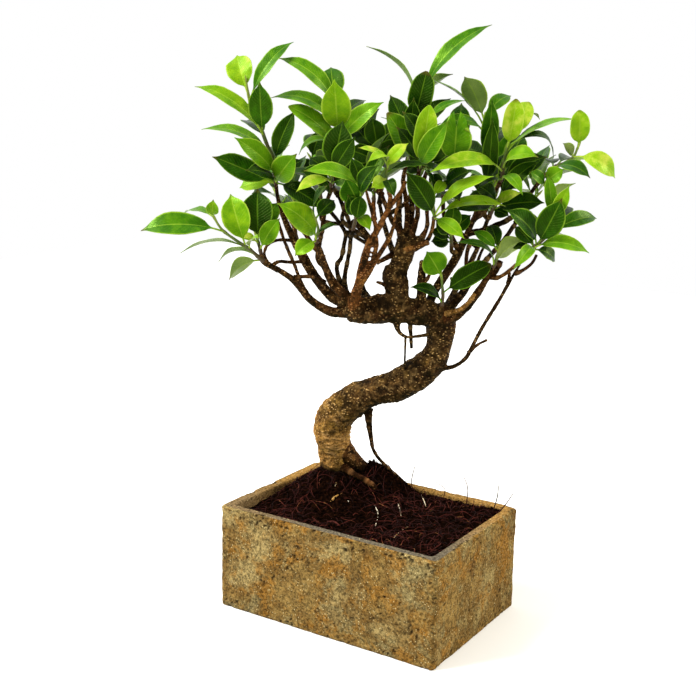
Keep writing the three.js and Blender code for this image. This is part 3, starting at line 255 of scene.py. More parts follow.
# Wood: each route is a list of [across, height, depth, thickness].
WOOD = {
  "trunk": [
    [-24, 84, 50, 24], [-26, 104, 49, 25], [-28, 120, 48, 24], [-30, 130, 46, 25], [-31, 140, 44, 29],
    [-32.5, 150, 42, 31], [-30.5, 160, 39, 30], [-25.5, 167, 37, 29], [-16.5, 174, 34, 28.5],
    [-5.5, 180.5, 31, 25], [8, 185, 28, 24.5], [22.5, 190, 25, 27.5], [34.5, 198.5, 22, 27],
    [46, 210, 19, 24], [50.5, 222, 17, 21], [51.5, 232, 16, 23], [50, 243, 15, 26], [45, 250, 14, 23],
  ],
  "limb": [
    [50, 242, 15, 24], [39, 247.5, 13, 22], [25, 249.5, 10, 21], [11, 250, 9, 23], [-3, 249, 7, 23.5],
    [-15, 248.5, 5, 22], [-23, 251, 4, 16],
  ],
  "scar": [[7, 252, 8, 15], [7, 253, -1, 15], [7, 253, -3.5, 12]],
  "upright": [
    [17, 250, 10, 21], [16, 265, 10, 18.5], [16, 277, 9, 16.5], [18, 287, 9, 15.5], [20, 297, 9, 16.5],
    [21, 304, 8, 15], [22, 309, 8, 9],
  ],
  "upright_knob": [[21, 299, 9, 13], [29, 302, 7, 11], [36, 306, 5, 7]],
  "fork_a": [
    [20, 302, 8, 7], [17, 310, 8, 5], [10, 320, 6, 4.2], [6, 329, 4, 4], [2, 339, 2, 3.8], [-2, 352, 0, 3.4],
  ],
  "fork_b": [
    [21, 303, 9, 7], [22, 314, 11, 5.4], [22, 324, 13, 4.6], [20, 339, 16, 4.2], [18, 350, 18, 4],
    [20, 362, 20, 3.6],
  ],
  "fork_c": [
    [24, 303, 8, 7], [28, 316, 5, 5], [30, 324, 3, 4.4], [29, 335, 0, 4.2], [28, 347, -2, 4],
    [30, 358, -2, 3.6],
  ],
  "fork_e": [[20, 303, 12, 7], [16, 316, 14, 5], [15.5, 328, 16, 4.6], [16, 340, 18, 3.6]],
  "fork_f": [[23, 304, 12, 7], [25, 318, 15, 4.6], [25.5, 330, 17, 4.4], [25, 342, 19, 3.6]],
  "fork_g": [[33, 304, 6, 5], [37.5, 315, 6, 3.2], [37, 328, 5, 3]],
  "fork_d": [[27, 298, 6, 7], [37, 303, 0, 4.6], [41, 311, -6, 3.8], [42.5, 321, -10, 3.6]],
  "broken_twig": [[21, 297, 4, 5.4], [30, 299, -3, 4], [39, 303, -7, 3.8]],
  "upright_burl": [[13, 264, 9, 12], [9.5, 275, 7, 12], [10, 284, 6, 8]],
  "upright_stub": [[12, 293, 7, 4.5], [5, 289, 1, 3.5], [0, 286, -2, 3]],
  "upright_hook": [[10, 267, 7, 3.5], [4, 270, 4, 2.6], [0, 271, 3, 2]],
  "limb_stub": [[35, 256, 10, 9], [35, 268, 9, 8], [35, 278, 8, 7], [35.5, 289, 7, 5.5]],
  "limb_stub_twig": [[35, 271, 8, 3.5], [39, 274, 6, 3], [42, 281, 5, 2.4]],
  "left_low": [
    [-16, 247, 5, 11], [-32, 246, 2, 8.5], [-42, 249.5, -1, 7], [-52, 256.5, -4, 6.6],
    [-58, 264, -6, 6.4], [-66, 272, -8, 5.8], [-76, 278.5, -11, 4.8], [-88, 285.5, -14, 3.8],
  ],
  "left_back": [
    [-20, 254, 6, 11], [-32, 257, 9, 9.5], [-40, 264, 12, 8.4], [-48, 274, 15, 8.4], [-54.5, 284, 18, 8],
    [-60, 294, 20, 7.4], [-65.5, 304, 20, 6.4], [-72, 318, 18, 5], [-77, 332, 14, 4], [-79, 345, 11, 3.6],
  ],
  "left_rise": [
    [-21, 257, 3, 10], [-32, 267, 1, 8], [-37.5, 276, 0, 7], [-41.5, 286, -2, 5.8], [-45, 296, -4, 4.6],
    [-47, 301, -8, 3.6],
  ],
  "left_fork": [[-42, 289, -2, 4.2], [-50, 299, -1, 3.6], [-57, 309, 0, 3.4], [-61, 316, 1, 3.2]],
  "left_tall": [
    [-40, 281, 0, 4.2], [-46, 288, 4, 3.6], [-45, 300, 6, 3.4], [-43, 312, 8, 3.4], [-41, 328, 10, 3.4],
    [-36, 345, 12, 3.4], [-33, 362, 14, 3.4],
  ],
  "pair_a": [
    [-23, 260, 8, 4.6], [-30, 275, 12, 3.6], [-31, 284, 14, 3.4], [-28, 289, 14, 3], [-26, 299, 15, 3],
    [-25, 308, 16, 3], [-31, 318, 20, 3], [-38, 326, 26, 3],
  ],
  "pair_b": [
    [-23, 260, 9, 5], [-25, 271, 11, 3.8], [-23.5, 284, 12, 3.4], [-21.5, 296, 13, 3.2],
    [-21, 308, 13, 3.2], [-22, 316, 15, 3.2],
    [-27, 328, 20, 3.2], [-32, 340, 28, 3.2],
  ],
  "pair_link": [[-26, 310, 16, 3], [-20, 308, 14, 3], [-14, 304, 12, 3.2], [-6, 300, 8, 4]],
  "pair_knot": [[-22, 314, 14, 5], [-17, 317, 15, 7.5], [-12, 311, 12, 6], [-6, 305, 6, 4.5]],
  "red_stem": [
    [-18, 250, 0, 11], [-16, 261, -6, 8.4], [-13.5, 270, -9, 7.4], [-12, 280, -11, 7], [-9.5, 291, -13, 6.4],
    [-6.5, 302, -15, 5.6], [-1.5, 311, -17, 4.4], [-3.5, 320, -20, 3.6], [-6.5, 330, -24, 3.4],
    [-9, 338, -30, 2.8], [-11.5, 346, -37, 2.2],
  ],
  "red_fork": [
    [-14, 267, -9, 6.4], [-8, 276, -9, 5.2], [-2, 287, -8, 4.8], [4, 297, -7, 4.6], [9, 306, -8, 4],
    [12, 316, -9, 3.2], [13.5, 326, -10, 3], [16, 336, -12, 2.6],
  ],
  "red_twig": [
    [-3, 307, -16, 4.4], [0, 312, -17, 4.2], [4, 321, -17, 3.8], [10, 332, -17, 3.6], [17, 342, -18, 3.2],
    [20, 349.5, -19, 2.6],
  ],
  "red_link": [[-6, 281, -9, 4], [-3, 290, -12, 3.6], [-1, 300, -15, 4], [-2, 308, -16, 4]],
  "thin_left": [
    [-50, 256, -3, 3.2], [-56, 264, 3, 2.8], [-61, 275, 6, 2.6], [-64, 283, 8, 2.6], [-69, 294, 9, 2.6],
    [-73, 304, 10, 2.4], [-77, 316, 10, 2.4],
  ],
  "cross_left": [[-81, 282, -12, 3], [-77, 285, -8, 2.6], [-66, 285, 2, 2.6], [-56, 286, 14, 2.8]],
  "cross_low": [[-64, 273, -7, 3.4], [-56, 274, -3, 2.8], [-46, 273, 4, 2.8], [-40, 270, 8, 3.2]],
  "left_loop": [
    [-65, 302, 19, 2.8], [-77, 302, 12, 2.2], [-85, 298, 4, 2.2], [-87.5, 291, -4, 2.2],
    [-85, 284.5, -12, 2.6],
  ],
  "right_main": [
    [50, 241, 14, 16], [60, 245, 9, 10.5], [66.5, 249, 6, 8.6], [72, 254, 3, 7.4], [77, 261, 0, 6.4],
    [81, 268, -3, 5.8], [85.5, 276, -5, 5.2], [90, 285, -7, 3.8],
  ],
  "right_strip": [
    [52, 246, 9, 5], [57, 247.5, 3, 4], [64, 249.5, 0, 3.8], [71, 255, -2, 3.6], [77, 264, -4, 3.2],
  ],
  "right_knob": [[89, 278, -5, 4.4], [93, 284, -3, 4.6], [95.5, 290, -2, 5]],
  "right_reach": [
    [86, 277.5, -5, 4], [93, 276.5, -8, 3.4], [99, 279.5, -9, 3], [107, 286.5, -10, 2.8],
    [113, 292, -10.5, 2.8], [118.5, 298.5, -11, 3],
  ],
  "right_dark": [
    [55, 248, 14, 8], [62, 257, 14, 7], [68, 265, 14, 6.6], [73, 274, 12, 5.4], [76.5, 284, 10, 4.2],
    [79, 293, 8, 3.2], [83, 303, 6, 2.8],
  ],
  "right_thin": [[69, 268, 14, 4.2], [69.5, 280, 18, 3.6], [69, 294, 24, 3.2], [72, 306, 30, 3.4]],
  "right_black": [[60, 254, 15, 3.4], [61, 264, 18, 3], [58, 276, 24, 2.8]],
  "right_grey": [
    [40, 252, 18, 8], [46, 266, 23, 7.4], [52.5, 277, 26, 7.4], [58, 286, 28, 7.4], [62.5, 295, 30, 7],
    [66.5, 305, 31, 6.2], [71, 316, 31, 5], [76, 330, 29, 4.2], [80, 343, 26, 3.6],
  ],
  "right_up": [
    [70, 311, 31, 4.6], [80, 313, 27, 4.6], [90, 317, 23, 4.4], [98, 321, 19, 4], [106, 327, 15, 3.4],
    [112, 336, 10, 3], [118, 346, 7, 3], [124, 354, 4, 3], [131, 361, -1, 3.2],
  ],
  "right_inner": [[73, 321, 30, 3.8], [82, 333, 22, 3.4], [88, 342, 15, 3.2], [92, 351, 10, 3.2]],
  "heart_twig": [[63, 296, 30, 4], [56, 310, 24, 3.6], [50, 325, 16, 3.4], [49, 339, 11, 3.2]],
  "right_low": [
    [48, 204, 18, 8], [57, 203.5, 14, 4.4], [65, 206, 11, 3.8], [72, 212, 9, 3.8], [77, 222, 7, 3.6],
    [84.5, 238, 4, 3.6], [91, 250, 1, 3.6], [96.5, 260, -1, 3.4], [102, 271, -3, 3.4], [107, 281, -5, 3],
    [111, 288, -6, 2.4],
  ],
  "right_low_tip": [[107, 280, -5, 3], [114, 283.5, -8, 2.4], [120, 289, -10, 2.2], [123, 295, -13, 2.2]],
  "right_low_dead": [[74, 216, 8, 2.8], [81, 223, 12, 2.2], [88, 227, 14, 2]],
  "right_low_spur": [[102, 272, -3, 2.8], [103, 281, -1, 2.2]],
  "back_a": [
    [-4, 253, 12, 8], [-12, 268, 30, 6], [-11, 285, 46, 5], [-8, 302, 60, 4.4], [-14, 318, 72, 3.6],
  ],
  "back_b": [[18, 268, 14, 8], [16, 284, 34, 6], [10, 300, 52, 5], [4, 318, 68, 4.4], [0, 334, 80, 3.6]],
  "back_c": [
    [52, 245, 20, 10], [58, 258, 38, 6.4], [65, 274, 54, 5.4], [74, 292, 68, 4.6], [82, 312, 80, 3.8],
  ],
  "back_d": [[70, 272, 14, 5], [84, 290, 34, 4], [97, 306, 50, 3.6], [107, 322, 62, 3.4]],
  "aerial_root": [
    [-6, 170, 33, 7], [-4.5, 163, 34, 4.6], [-3, 153, 36, 3.4], [-1, 144, 38, 3], [1, 135, 40, 2.8],
    [6, 127, 42, 2.8], [14, 119, 43, 2.6], [22, 112, 43, 2.6], [29, 105, 42, 2.6], [36, 95, 42, 2.6],
  ],
  "aerial_strand": [[-2, 168, 31, 3.6], [-1.5, 158, 34, 2.2], [-0.5, 147, 37, 2], [1, 137, 39.5, 2]],
  "root_loop": [
    [16, 243, 8, 8], [18, 233, 8, 4], [24, 228, 7, 3], [33, 228.5, 6, 3], [43, 230.5, 6, 4],
  ],
  "root_stub": [[27, 243, 8, 4], [28, 230, 10, 2.8], [29, 219, 11, 2.6]],
  "root_hair": [[24, 228, 7, 1.8], [24, 218, 9, 1.6], [24, 202, 16, 1.6]],
  "flare": [
    [-27, 138, 44, 22], [-21, 130, 46, 20], [-14, 123, 47, 17], [-6, 116, 47, 14], [4, 109, 46, 11],
    [14, 102, 45, 8],
  ],
  "surface_root": [
    [-22, 119, 38, 7], [-14, 113.5, 31, 4.6], [-5, 109, 27, 4.4], [2, 104, 24, 4.4], [4, 101, 23, 4],
  ],
}

# Shoots with leaves in places of their own. A stem goes on from the end of a branch, or stands on a twig
# from a share of a branch. A leaf is [share of the stem, its tip across, height and depth, width, facing,
# tone, arch], of which the last two may be left out. Facing is in degrees, from the sky towards the eye.
# Tone 0 is dark and 1 is yellow-green: partly the leaf's age, young leaves being yellow, and partly painted
# light and shade, low tones on leaves in the shade and high ones on lit leaves.
SHOOTS = {
  "left_tip": {
    "on": "left_low",
    "stem": [[-99, 294.5, -17], [-111, 302, -20], [-121, 310, -22], [-128, 321, -23]],
    "leaves": [
      [0.06, -115, 270, -26, 17, -50, 0.66, 0.2], [0.26, -124, 284.5, -22, 14, -24, 0.57, 0.22],
      [0.4, -153, 290, -24, 15, -18, 0.57, 0.15], [0.74, -184, 308, -30, 21, 48, 0.48],
      [0.95, -150, 322, -8, 14, 10, 0.57], [0.97, -127, 332, -32, 10, 60, 0.76],
      [0.45, -114, 337, -12, 22, 86, 0.76], [0.4, -92, 304, -36, 9, 40, 0.83],
    ],
  },
  "left_mid": {
    "from": ["left_low", 0.86],
    "stem": [[-90, 291, -9], [-92, 299, -5], [-95, 308, -2]],
    "leaves": [
      [0.55, -93, 341, 2, 25, 82, 0.05], [0.2, -76, 319, -12, 15, 62, 0.66],
      [0.8, -77, 332, 16, 16, 66, 0.57], [0.5, -108.5, 304, -6, 8, 40, 0.92, 0.2],
      [0.9, -90, 322, 36, 16, 20], [0.9, -84, 326, 8, 12, 60],
    ],
  },
  "upper_left": {
    "on": "left_back",
    "stem": [[-80, 362, 8], [-87, 377, 4], [-92, 390, 2], [-99, 405, 2], [-102, 421, 2]],
    "leaves": [
      [0.05, -127, 365, -8, 20, 60, 0.32, 0], [0.03, -107, 341.5, 14, 17, 46, 0.83, 0.12],
      [0.1, -102, 355, -20, 15, 55, 0.12], [0.05, -64, 368, -12, 20, 76, 0.66],
      [0.04, -42, 327, -6, 17, 55, 0.05], [0.22, -110, 380, -8, 17, 58, 0.66],
      [0.32, -65, 401, -2, 15, 62, 0.12, 0.2], [0.34, -136, 385.5, 10, 14, 26, 0.66, 0.18],
      [0.54, -141, 418, 0, 14, 40, 0.76, 0.18], [0.58, -92, 421, -12, 19, 86, 0.32],
      [0.84, -67, 452, 10, 13, 36, 0.48, 0.16], [0.9, -109, 440, 20, 21, 96, 0.83],
      [0.16, -58, 364, 14, 13, 50, 0.05], [0.3, -86, 372, 48, 17, 20], [0.5, -104, 392, 42, 17, 20],
      [0.04, -36, 341, 6, 14, 22, 0.22, 0.26],
    ],
  },
  "top_left": {
    "on": "left_tall",
    "stem": [[-32, 376, 12], [-33, 392, 10], [-35, 405, 10]],
    "leaves": [
      [0.5, 1, 409, -6, 17, 52, 0.66], [0.42, -70, 404, -6, 17, 48, 0.66],
      [0.6, -84, 410.5, 8, 15, 38, 0.57, 0.3], [0.85, -79, 440, 8, 15, 42, 0.57, 0.26],
      [0.62, -36, 424, -2, 23, 80, 0.76], [0.96, -39, 434, 26, 19, 84, 0.32],
      [0.7, -12, 410, 30, 15, 16, 0.22], [0.3, -52, 392, 46, 17, 20], [0.5, -24, 402, 50, 17, 20],
      [0.5, -63, 368, 14, 9, 30, 0.57, 0.28], [0.55, -9, 398, 22, 13, 60, 0.12],
    ],
  },
  "left_inner": {
    "from": ["left_tall", 0.82],
    "stem": [[-37, 344, 2], [-36, 355, -5]],
    "leaves": [
      [0.85, -29, 394, -10, 23, 82, 0.05], [0.95, -19.5, 382, -18, 16, 76, 0.12],
      [0.3, -64, 340, -24, 11, 45, 0.92, 0.2], [0.5, -54, 366, 6, 15, 50, 0.12], [0.2, -16, 352, -8, 15, 60],
      [0.4, -60, 356, -8, 13, 60],
    ],
  },
  "left_rear": {
    "from": ["pair_b", 0.97],
    "stem": [[-40, 349, 38], [-53, 366, 44]],
    "leaves": [
      [0.92, -45, 387, 38, 13, 66, 0.12], [0.8, -38, 367, 28, 14, -50, 0.48], [0.5, -62, 357, 30, 16, 50],
      [0.3, -18, 360, 36, 17, 55], [0.25, -62, 340, 46, 17, 35], [0.9, -50, 384, 74, 17, 30],
    ],
  },
  "mid_left": {
    "on": "left_rise",
    "stem": [[-46, 311, -14], [-50, 322, -20]],
    "leaves": [
      [0.2, -77.5, 331, -30, 22, 52, 0.76, 0.2], [0.06, -64, 290, -20, 14, 50, 0.76, 0.2],
      [0.5, -32, 315.5, -16, 7, 30, 0.22], [0.95, -40, 345, -34, 15, 30, 0.05],
      [0.9, -34, 334, -8, 14, 55, 0.05],
    ],
  },
  "mid_front": {
    "from": ["pair_b", 0.55],
    "stem": [[-19, 312, -2], [-17, 322, -12], [-15, 332, -20], [-13, 344, -26]],
    "leaves": [
      [0.35, -24, 338, -28, 14, 70, 0.12], [0.3, -6, 311, -26, 11, 38, 0.76, 0.26],
      [0.62, -26, 350, -32, 21, 74, 0.32], [0.92, -58, 355.5, -44, 15, 42, 0.66, 0.2],
      [0.86, -2, 362, -46, 14, 60, 0.12], [0.97, -22, 366, -36, 12, 50, 0.12],
      [0.76, 7, 376, -30, 12, 45, 0.12], [0.9, -17, 321, -14, 13, 70, 0.12],
    ],
  },
  "inner_front": {
    "from": ["fork_a", 0.92],
    "stem": [[-4, 362, 6], [-2, 373, 5]],
    "leaves": [
      [0.2, -24, 372, 2, 16, 66], [0.35, 16, 378, 2, 15, 66], [0.9, -7, 397, 4, 17, 72],
      [0.6, -22, 390, 10, 16, 62], [0.7, 15, 394, 9, 16, 62], [0.05, 8, 350, 6, 15, 55],
      [0.1, -20, 354, 8, 14, 55], [0.05, 6, 337, 10, 14, 60, 0.05],
    ],
  },
  "top_mid": {
    "on": "fork_b",
    "stem": [[22, 378, 20], [25, 396, 21], [31, 414, 22]],
    "leaves": [
      [0.25, 4, 401, 4, 20, 62, 0.57], [0.5, 6, 414, 28, 16, 60, 0.12], [0.72, 33, 432, 10, 19, 80, 0.12],
      [0.8, -12.5, 449, 34, 12, -16, 0.48, 0.19], [0.86, 52, 431, 34, 15, -32, 0.48],
      [0.96, 80, 467, 20, 15, 34, 0.48, 0.18], [0.3, 40, 392, 50, 18, 20], [0.6, 14, 404, 56, 17, 20],
      [0.55, 52, 413, 24, 14, 50], [0.5, 24, 412, -2, 14, 50, 0.12],
    ],
  },
  "top_front": {
    "on": "fork_c",
    "stem": [[30, 372, -4], [32, 388, -4], [35, 400, -1]],
    "leaves": [
      [0.1, 36, 407, -18, 17, 70, 0.83], [0.05, 50, 396, -22, 17, 62, 0.57],
      [0.85, 63, 411, 12, 12, 12, 0.48], [0.3, 12, 390, -22, 15, 55], [0.6, 16, 402, -12, 14, 60],
    ],
  },
  "inner_right": {
    "from": ["fork_c", 0.88],
    "stem": [[35, 355, 5], [39, 366, 6]],
    "leaves": [
      [0.2, 22, 372, 4, 14, 62], [0.5, 50, 384, 8, 16, 66], [0.92, 37, 390, 9, 16, 70],
      [0.3, 60, 368, 12, 15, 60], [0.1, 46, 344, 10, 14, 55], [0.6, 20, 358, 10, 14, 55],
      [0.05, 22, 335, 10, 14, 60, 0.05],
    ],
  },
  "top_right": {
    "on": "right_grey",
    "stem": [[80, 362, 22], [78, 380, 18], [78, 398, 16]],
    "leaves": [
      [0.96, 61, 429, 12, 19, -58, 0.66, 0.24], [0.98, 97, 415, 26, 13, 44, 0.48, 0.28],
      [0.85, 43, 392, 4, 15, 36, 0.48, 0.22], [0.55, 83, 413, 0, 14, 80, 0.32],
      [0.9, 27, 428, 14, 12, 2, 0.57], [0.4, 60, 382, 50, 18, 25], [0.6, 94, 392, 52, 17, 25],
      [0.3, 106, 372, 44, 17, 20], [0.2, 84, 399, -6, 13, 60, 0.12],
    ],
  },
  "heart": {
    "on": "heart_twig",
    "stem": [[52, 354, 6], [57, 368, 2]],
    "leaves": [
      [0.9, 57, 394, -8, 24, 88, 0.57], [0.95, 60, 409, 30, 17, 60, 0.32], [0.3, 70, 359, -14, 16, 52, 0.12],
      [0.5, 34, 368, -16, 15, 40, 0.12], [0.15, 62, 336, -20, 16, 40, 0.05],
      [0.6, 78, 374, -12, 14, 40, 0.12],
    ],
  },
  "right_heart": {
    "from": ["right_grey", 0.9],
    "stem": [[86, 326, 18], [92, 338, 10]],
    "leaves": [
      [0.3, 127, 336, 0, 17, 60, 0.12], [0.5, 109, 343, -12, 10, 60, 0.92], [0.95, 121, 368, -6, 14, 50],
      [0.7, 70, 350, -4, 15, 60], [0.85, 104, 366, 24, 17, 70], [0.6, 64, 338, 34, 17, 40],
      [0.4, 58, 330, 8, 14, 50], [0.25, 100, 325, 8, 13, 60, 0.12],
    ],
  },
  "right_top": {
    "on": "right_inner",
    "stem": [[94, 366, 4], [97, 380, 0], [101, 393, 0]],
    "leaves": [
      [0.68, 101, 413, -8, 16, 88, 0.92], [0.8, 111, 411, 10, 15, 70, 0.92],
      [0.62, 148, 400, -8, 14, 16, 0.66], [0.9, 121, 399, 16, 9, 12, 0.76, 0.25],
      [0.4, 120, 371, -18, 17, 42, 0.76, 0.22], [0.36, 38, 357, -24, 16, 42, 0.83, 0.2],
      [0.08, 127, 371, 8, 17, 60, 0.05], [0.7, 132, 370, 14, 9, 36, 0.12, 0.42],
      [0.04, 109, 342, -16, 11, 40, 0.66, 0.25], [0.1, 74, 345, -12, 12, 10], [0.3, 108, 388, 24, 16, 60],
      [0.15, 72, 378, 16, 16, 60],
    ],
  },
  "right_far": {
    "on": "right_up",
    "stem": [[140, 366, -4], [147, 371.5, -5], [149.8, 379, -5]],
    "leaves": [
      [0.96, 149, 406, -12, 15, 86, 0.83], [0.72, 138, 381, 8, 9, -60, 0.92],
      [0.72, 180.5, 355.5, -10, 17, 56, 0.92, 0.3], [0.4, 179, 358.5, 16, 12, 14, 0.83, 0.16],
      [0.05, 161, 355.5, -18, 15, 36, 0.32, 0.22], [0.3, 150, 366, 38, 16, 16], [0.1, 128, 372, 34, 15, 20],
    ],
  },
  "centre_low": {
    "on": "fork_d",
    "stem": [[42, 330, -12], [40, 345, -14]],
    "leaves": [
      [0.25, 20, 356.5, -22, 19, 70, 0.05], [0.3, 87, 355, -24, 14, 32, 0.83, 0.16],
      [0.85, 50, 350.5, -2, 9, 66, 0.83], [0.06, 97.5, 332.5, -14, 13, 30, 0.83, 0.18],
      [0.05, 64, 306.5, -8, 12, 62, 0.76], [0.95, 33, 361, -22, 7, 30, 0.0],
    ],
  },
  "centre_fill": {
    "from": ["red_twig", 0.55],
    "stem": [[7.5, 341, -20], [5, 351, -21], [6, 362, -22]],
    "leaves": [
      [0.85, 21, 378.5, -28, 11, 50, 0.92, 0.2], [0.9, -17, 374, -34, 9, 32, 0.92, 0.18],
      [0.5, -6, 344, -34, 11, 78, 0.92], [0.35, 12, 337, -40, 10, 66, 0.05, 0.3],
      [0.7, 36, 362, -30, 9, 30, 0.05], [0.95, -10, 363.5, -38, 9, 40, 0.83, 0.3],
    ],
  },
  "right_low_shoot": {
    "on": "right_reach",
    "stem": [[124, 304, -12], [131, 312, -13], [133, 326, -12], [130.5, 340, -9], [124, 353, -8]],
    "leaves": [
      [0.1, 164, 298, -26, 15, 40, 0.66, 0.2], [0.06, 138, 290.5, -4, 13, 48, 0.22, 0.2],
      [0.16, 112, 329, 10, 16, 80, 0.22], [0.26, 98, 330, -26, 20, 46, 0.22, 0.16],
      [0.3, 140, 339, -26, 21, 74, 0.22], [0.5, 168.5, 325.5, 2, 14, 50, 0.32, 0.16],
      [0.22, 144, 309, 10, 11, 14, 0.05, 0.2], [0.62, 128, 357, -14, 10, 70, 0.57],
      [0.64, 149.5, 351, -6, 16, -32, 0.83, 0.24], [0.96, 141, 361, -20, 14, 55, 0.66],
      [0.94, 114, 359, -14, 11, 50, 0.48], [0.5, 146, 334, 26, 16, 30], [0.62, 145, 349, -26, 11, 66, 0.76],
      [0.04, 102, 284, -22, 10, 60, 0.66, 0.2], [0.18, 104, 318, 2, 13, 60, 0.12],
      [0.08, 104, 300, -4, 11, 30, 0.05],
    ],
  },
  "right_mid": {
    "on": "right_main",
    "stem": [[92, 292, -11], [94, 300, -14]],
    "leaves": [
      [0.3, 116, 305.5, -18, 19, -50, 0.83, 0.16], [0.9, 73, 313, -6, 10, 50, 0.48],
      [0.9, 86, 318, 6, 12, 60, 0.12], [0.04, 59.5, 303.5, -22, 9, 32, 0.32, 0.26],
    ],
  },
  "low_fill": {
    "from": ["right_grey", 0.5],
    "stem": [[57, 301, 20], [56, 312, 15]],
    "leaves": [
      [0.2, 41, 304, 16, 13, 60, 0.05], [0.7, 44, 321, 12, 14, 62, 0.12], [0.9, 57, 334, 16, 14, 62, 0.22],
      [0.8, 71, 325, 14, 13, 60, 0.22], [0.4, 40, 313, 24, 12, 50, 0.05],
    ],
  },
  "sucker": {
    "from": ["limb", 0.02],
    "stem": [[51.4, 254, -1.4], [52, 262, -3], [51, 270, -4], [50, 279, -5]],
    "leaves": [
      [0.9, 38, 296, -8, 21, 74, 0.57], [0.4, 88.5, 287.5, -10, 17, 62, 0.05],
      [0.05, 26, 268, -10, 12, 36, 0.05, 0.2],
    ],
  },
}
# Leaves with another outline than the long drawn-out one, each named by where its tip is seen
LEAVES_OF_SHAPE = {
    "blunt": [
        (4, 401), (111, 411), (101, 413), (149, 406), (33, 432), (36, 407), (-36, 341), (-70, 404),
        (88.5, 287.5),
    ],
    "notched": [(57, 394)],
}
SHAPE_OF = {tip: shape for shape, tips in LEAVES_OF_SHAPE.items() for tip in tips}

# Shoots with leaves by rule: [name, branch, share of the branch, the stem's foot, the stem's top]
FAR_SHOOTS = [
  ["far_left", "left_back", 0.6, [-70, 322, 46], [-80, 340, 60]],
  ["far_left_high", "back_a", 0.97, [-44, 330, 74], [-46, 350, 80]],
  ["far_left_mid", "back_a", 0.8, [-26, 328, 76], [-22, 352, 92]],
  ["far_middle", "back_b", 0.97, [2, 344, 86], [6, 364, 96]],
  ["far_middle_top", "fork_a", 0.8, [-10, 358, 26], [-12, 374, 38]],
  ["far_middle_high", "back_b", 0.8, [26, 344, 62], [36, 364, 66]],
  ["far_right", "back_c", 0.97, [84, 322, 84], [90, 342, 92]],
  ["far_right_mid", "back_c", 0.85, [62, 320, 80], [58, 342, 88]],
  ["far_right_side", "back_d", 0.95, [112, 330, 64], [122, 342, 66]],
  ["far_right_high", "right_grey", 0.8, [84, 336, 50], [90, 356, 60]],
  ["near_left", "left_fork", 0.95, [-60, 322, 4], [-66, 334, 8]],
  ["near_middle", "red_stem", 0.7, [-4, 334, -6], [-4, 348, -2]],
]
SHOOT_PLANS = [{"name": name, **shoot} for name, shoot in SHOOTS.items()] + [
    {"name": name, "from": [branch, share], "stem": [foot, top], "seed": FAR_SEED + index}
    for index, (name, branch, share, foot, top) in enumerate(FAR_SHOOTS)
]

# Wood that is grown together in one skin. The rest are thin tubes.
TRUNK_ROUTES = [
    "trunk", "limb", "scar", "upright", "upright_knob", "upright_burl", "limb_stub", "flare", "left_low",
    "left_back", "left_rise", "red_stem", "red_fork", "red_link", "right_main", "right_dark", "right_grey",
    "right_low", "back_a", "back_b", "back_c", "fork_a", "fork_b", "fork_c", "fork_d", "root_loop",
    "pair_knot",
]

# How strongly a route is wrinkled and how lumpy it is, where it differs from PLAIN_RELIEF
RELIEF = {
    "trunk": [0.8, 1.2], "limb": [0.45, 2.1], "upright": [0.3, 1.7], "upright_knob": [0.3, 1.8],
    "flare": [0.2, 0.8], "scar": [0.3, 1.4], "right_main": [0.4, 1.4], "limb_stub": [0.2, 1.3],
}
PLAIN_RELIEF = [0.25, 1.0]

# The trunk's lower bend is painted lit gold, a painted light, and is wrinkled more than the rest of the
# trunk. Its middle and its reach are along the route, and the wrinkling is given away from the bend and at
# its middle.
PAINTED_LIT_BEND = {"middle": 60, "reach": 38, "wrinkling": [0.35, 1.0], "light": 0.94, "rust": 0.35}

# How each route is coloured: how light its bark is, partly painted light and shade, dark for the branches
# deep in the crown and behind it, and how rusty
WOOD_TONES = {
    "trunk": [0.38, 0.15], "flare": [0.32, 0.5], "limb": [0.3, 0.25], "scar": [0.42, 0.1],
    "upright": [0.4, 0.15], "upright_knob": [0.36, 0.15], "limb_stub": [0.4, 0.1],
    "red_stem": [0.52, 1.0], "red_fork": [0.6, 0.8], "red_link": [0.5, 0.9], "red_twig": [0.62, 1.0],
    "fork_d": [0.6, 0.8], "broken_twig": [0.62, 0.75], "fork_e": [0.15, 0.2], "fork_f": [0.2, 0.2],
    "fork_g": [0.3, 0.6], "upright_burl": [0.3, 0.1],
    "pair_a": [0.08, 0.1], "pair_b": [0.08, 0.1], "pair_link": [0.12, 0.1], "pair_knot": [0.25, 0.2],
    "back_a": [0.08, 0.1], "back_b": [0.08, 0.1], "back_c": [0.08, 0.1], "back_d": [0.08, 0.1],
    "root_stub": [0.05, 0.05], "root_hair": [0.05, 0.05], "root_loop": [0.35, 0.1],
    "right_black": [0.05, 0.05], "right_dark": [0.16, 0.2], "right_grey": [0.36, 0.15],
    "aerial_root": [0.02, 0.5], "aerial_strand": [0.05, 0.4], "surface_root": [0.12, 0.9],
    "left_low": [0.38, 0.5], "left_back": [0.33, 0.35], "left_tall": [0.33, 0.25],
    "right_strip": [0.8, 0.5], "right_reach": [0.55, 0.7], "right_low": [0.22, 0.3], "right_up": [0.2, 0.15],
}
PLAIN_BRANCH = [0.26, 0.6]

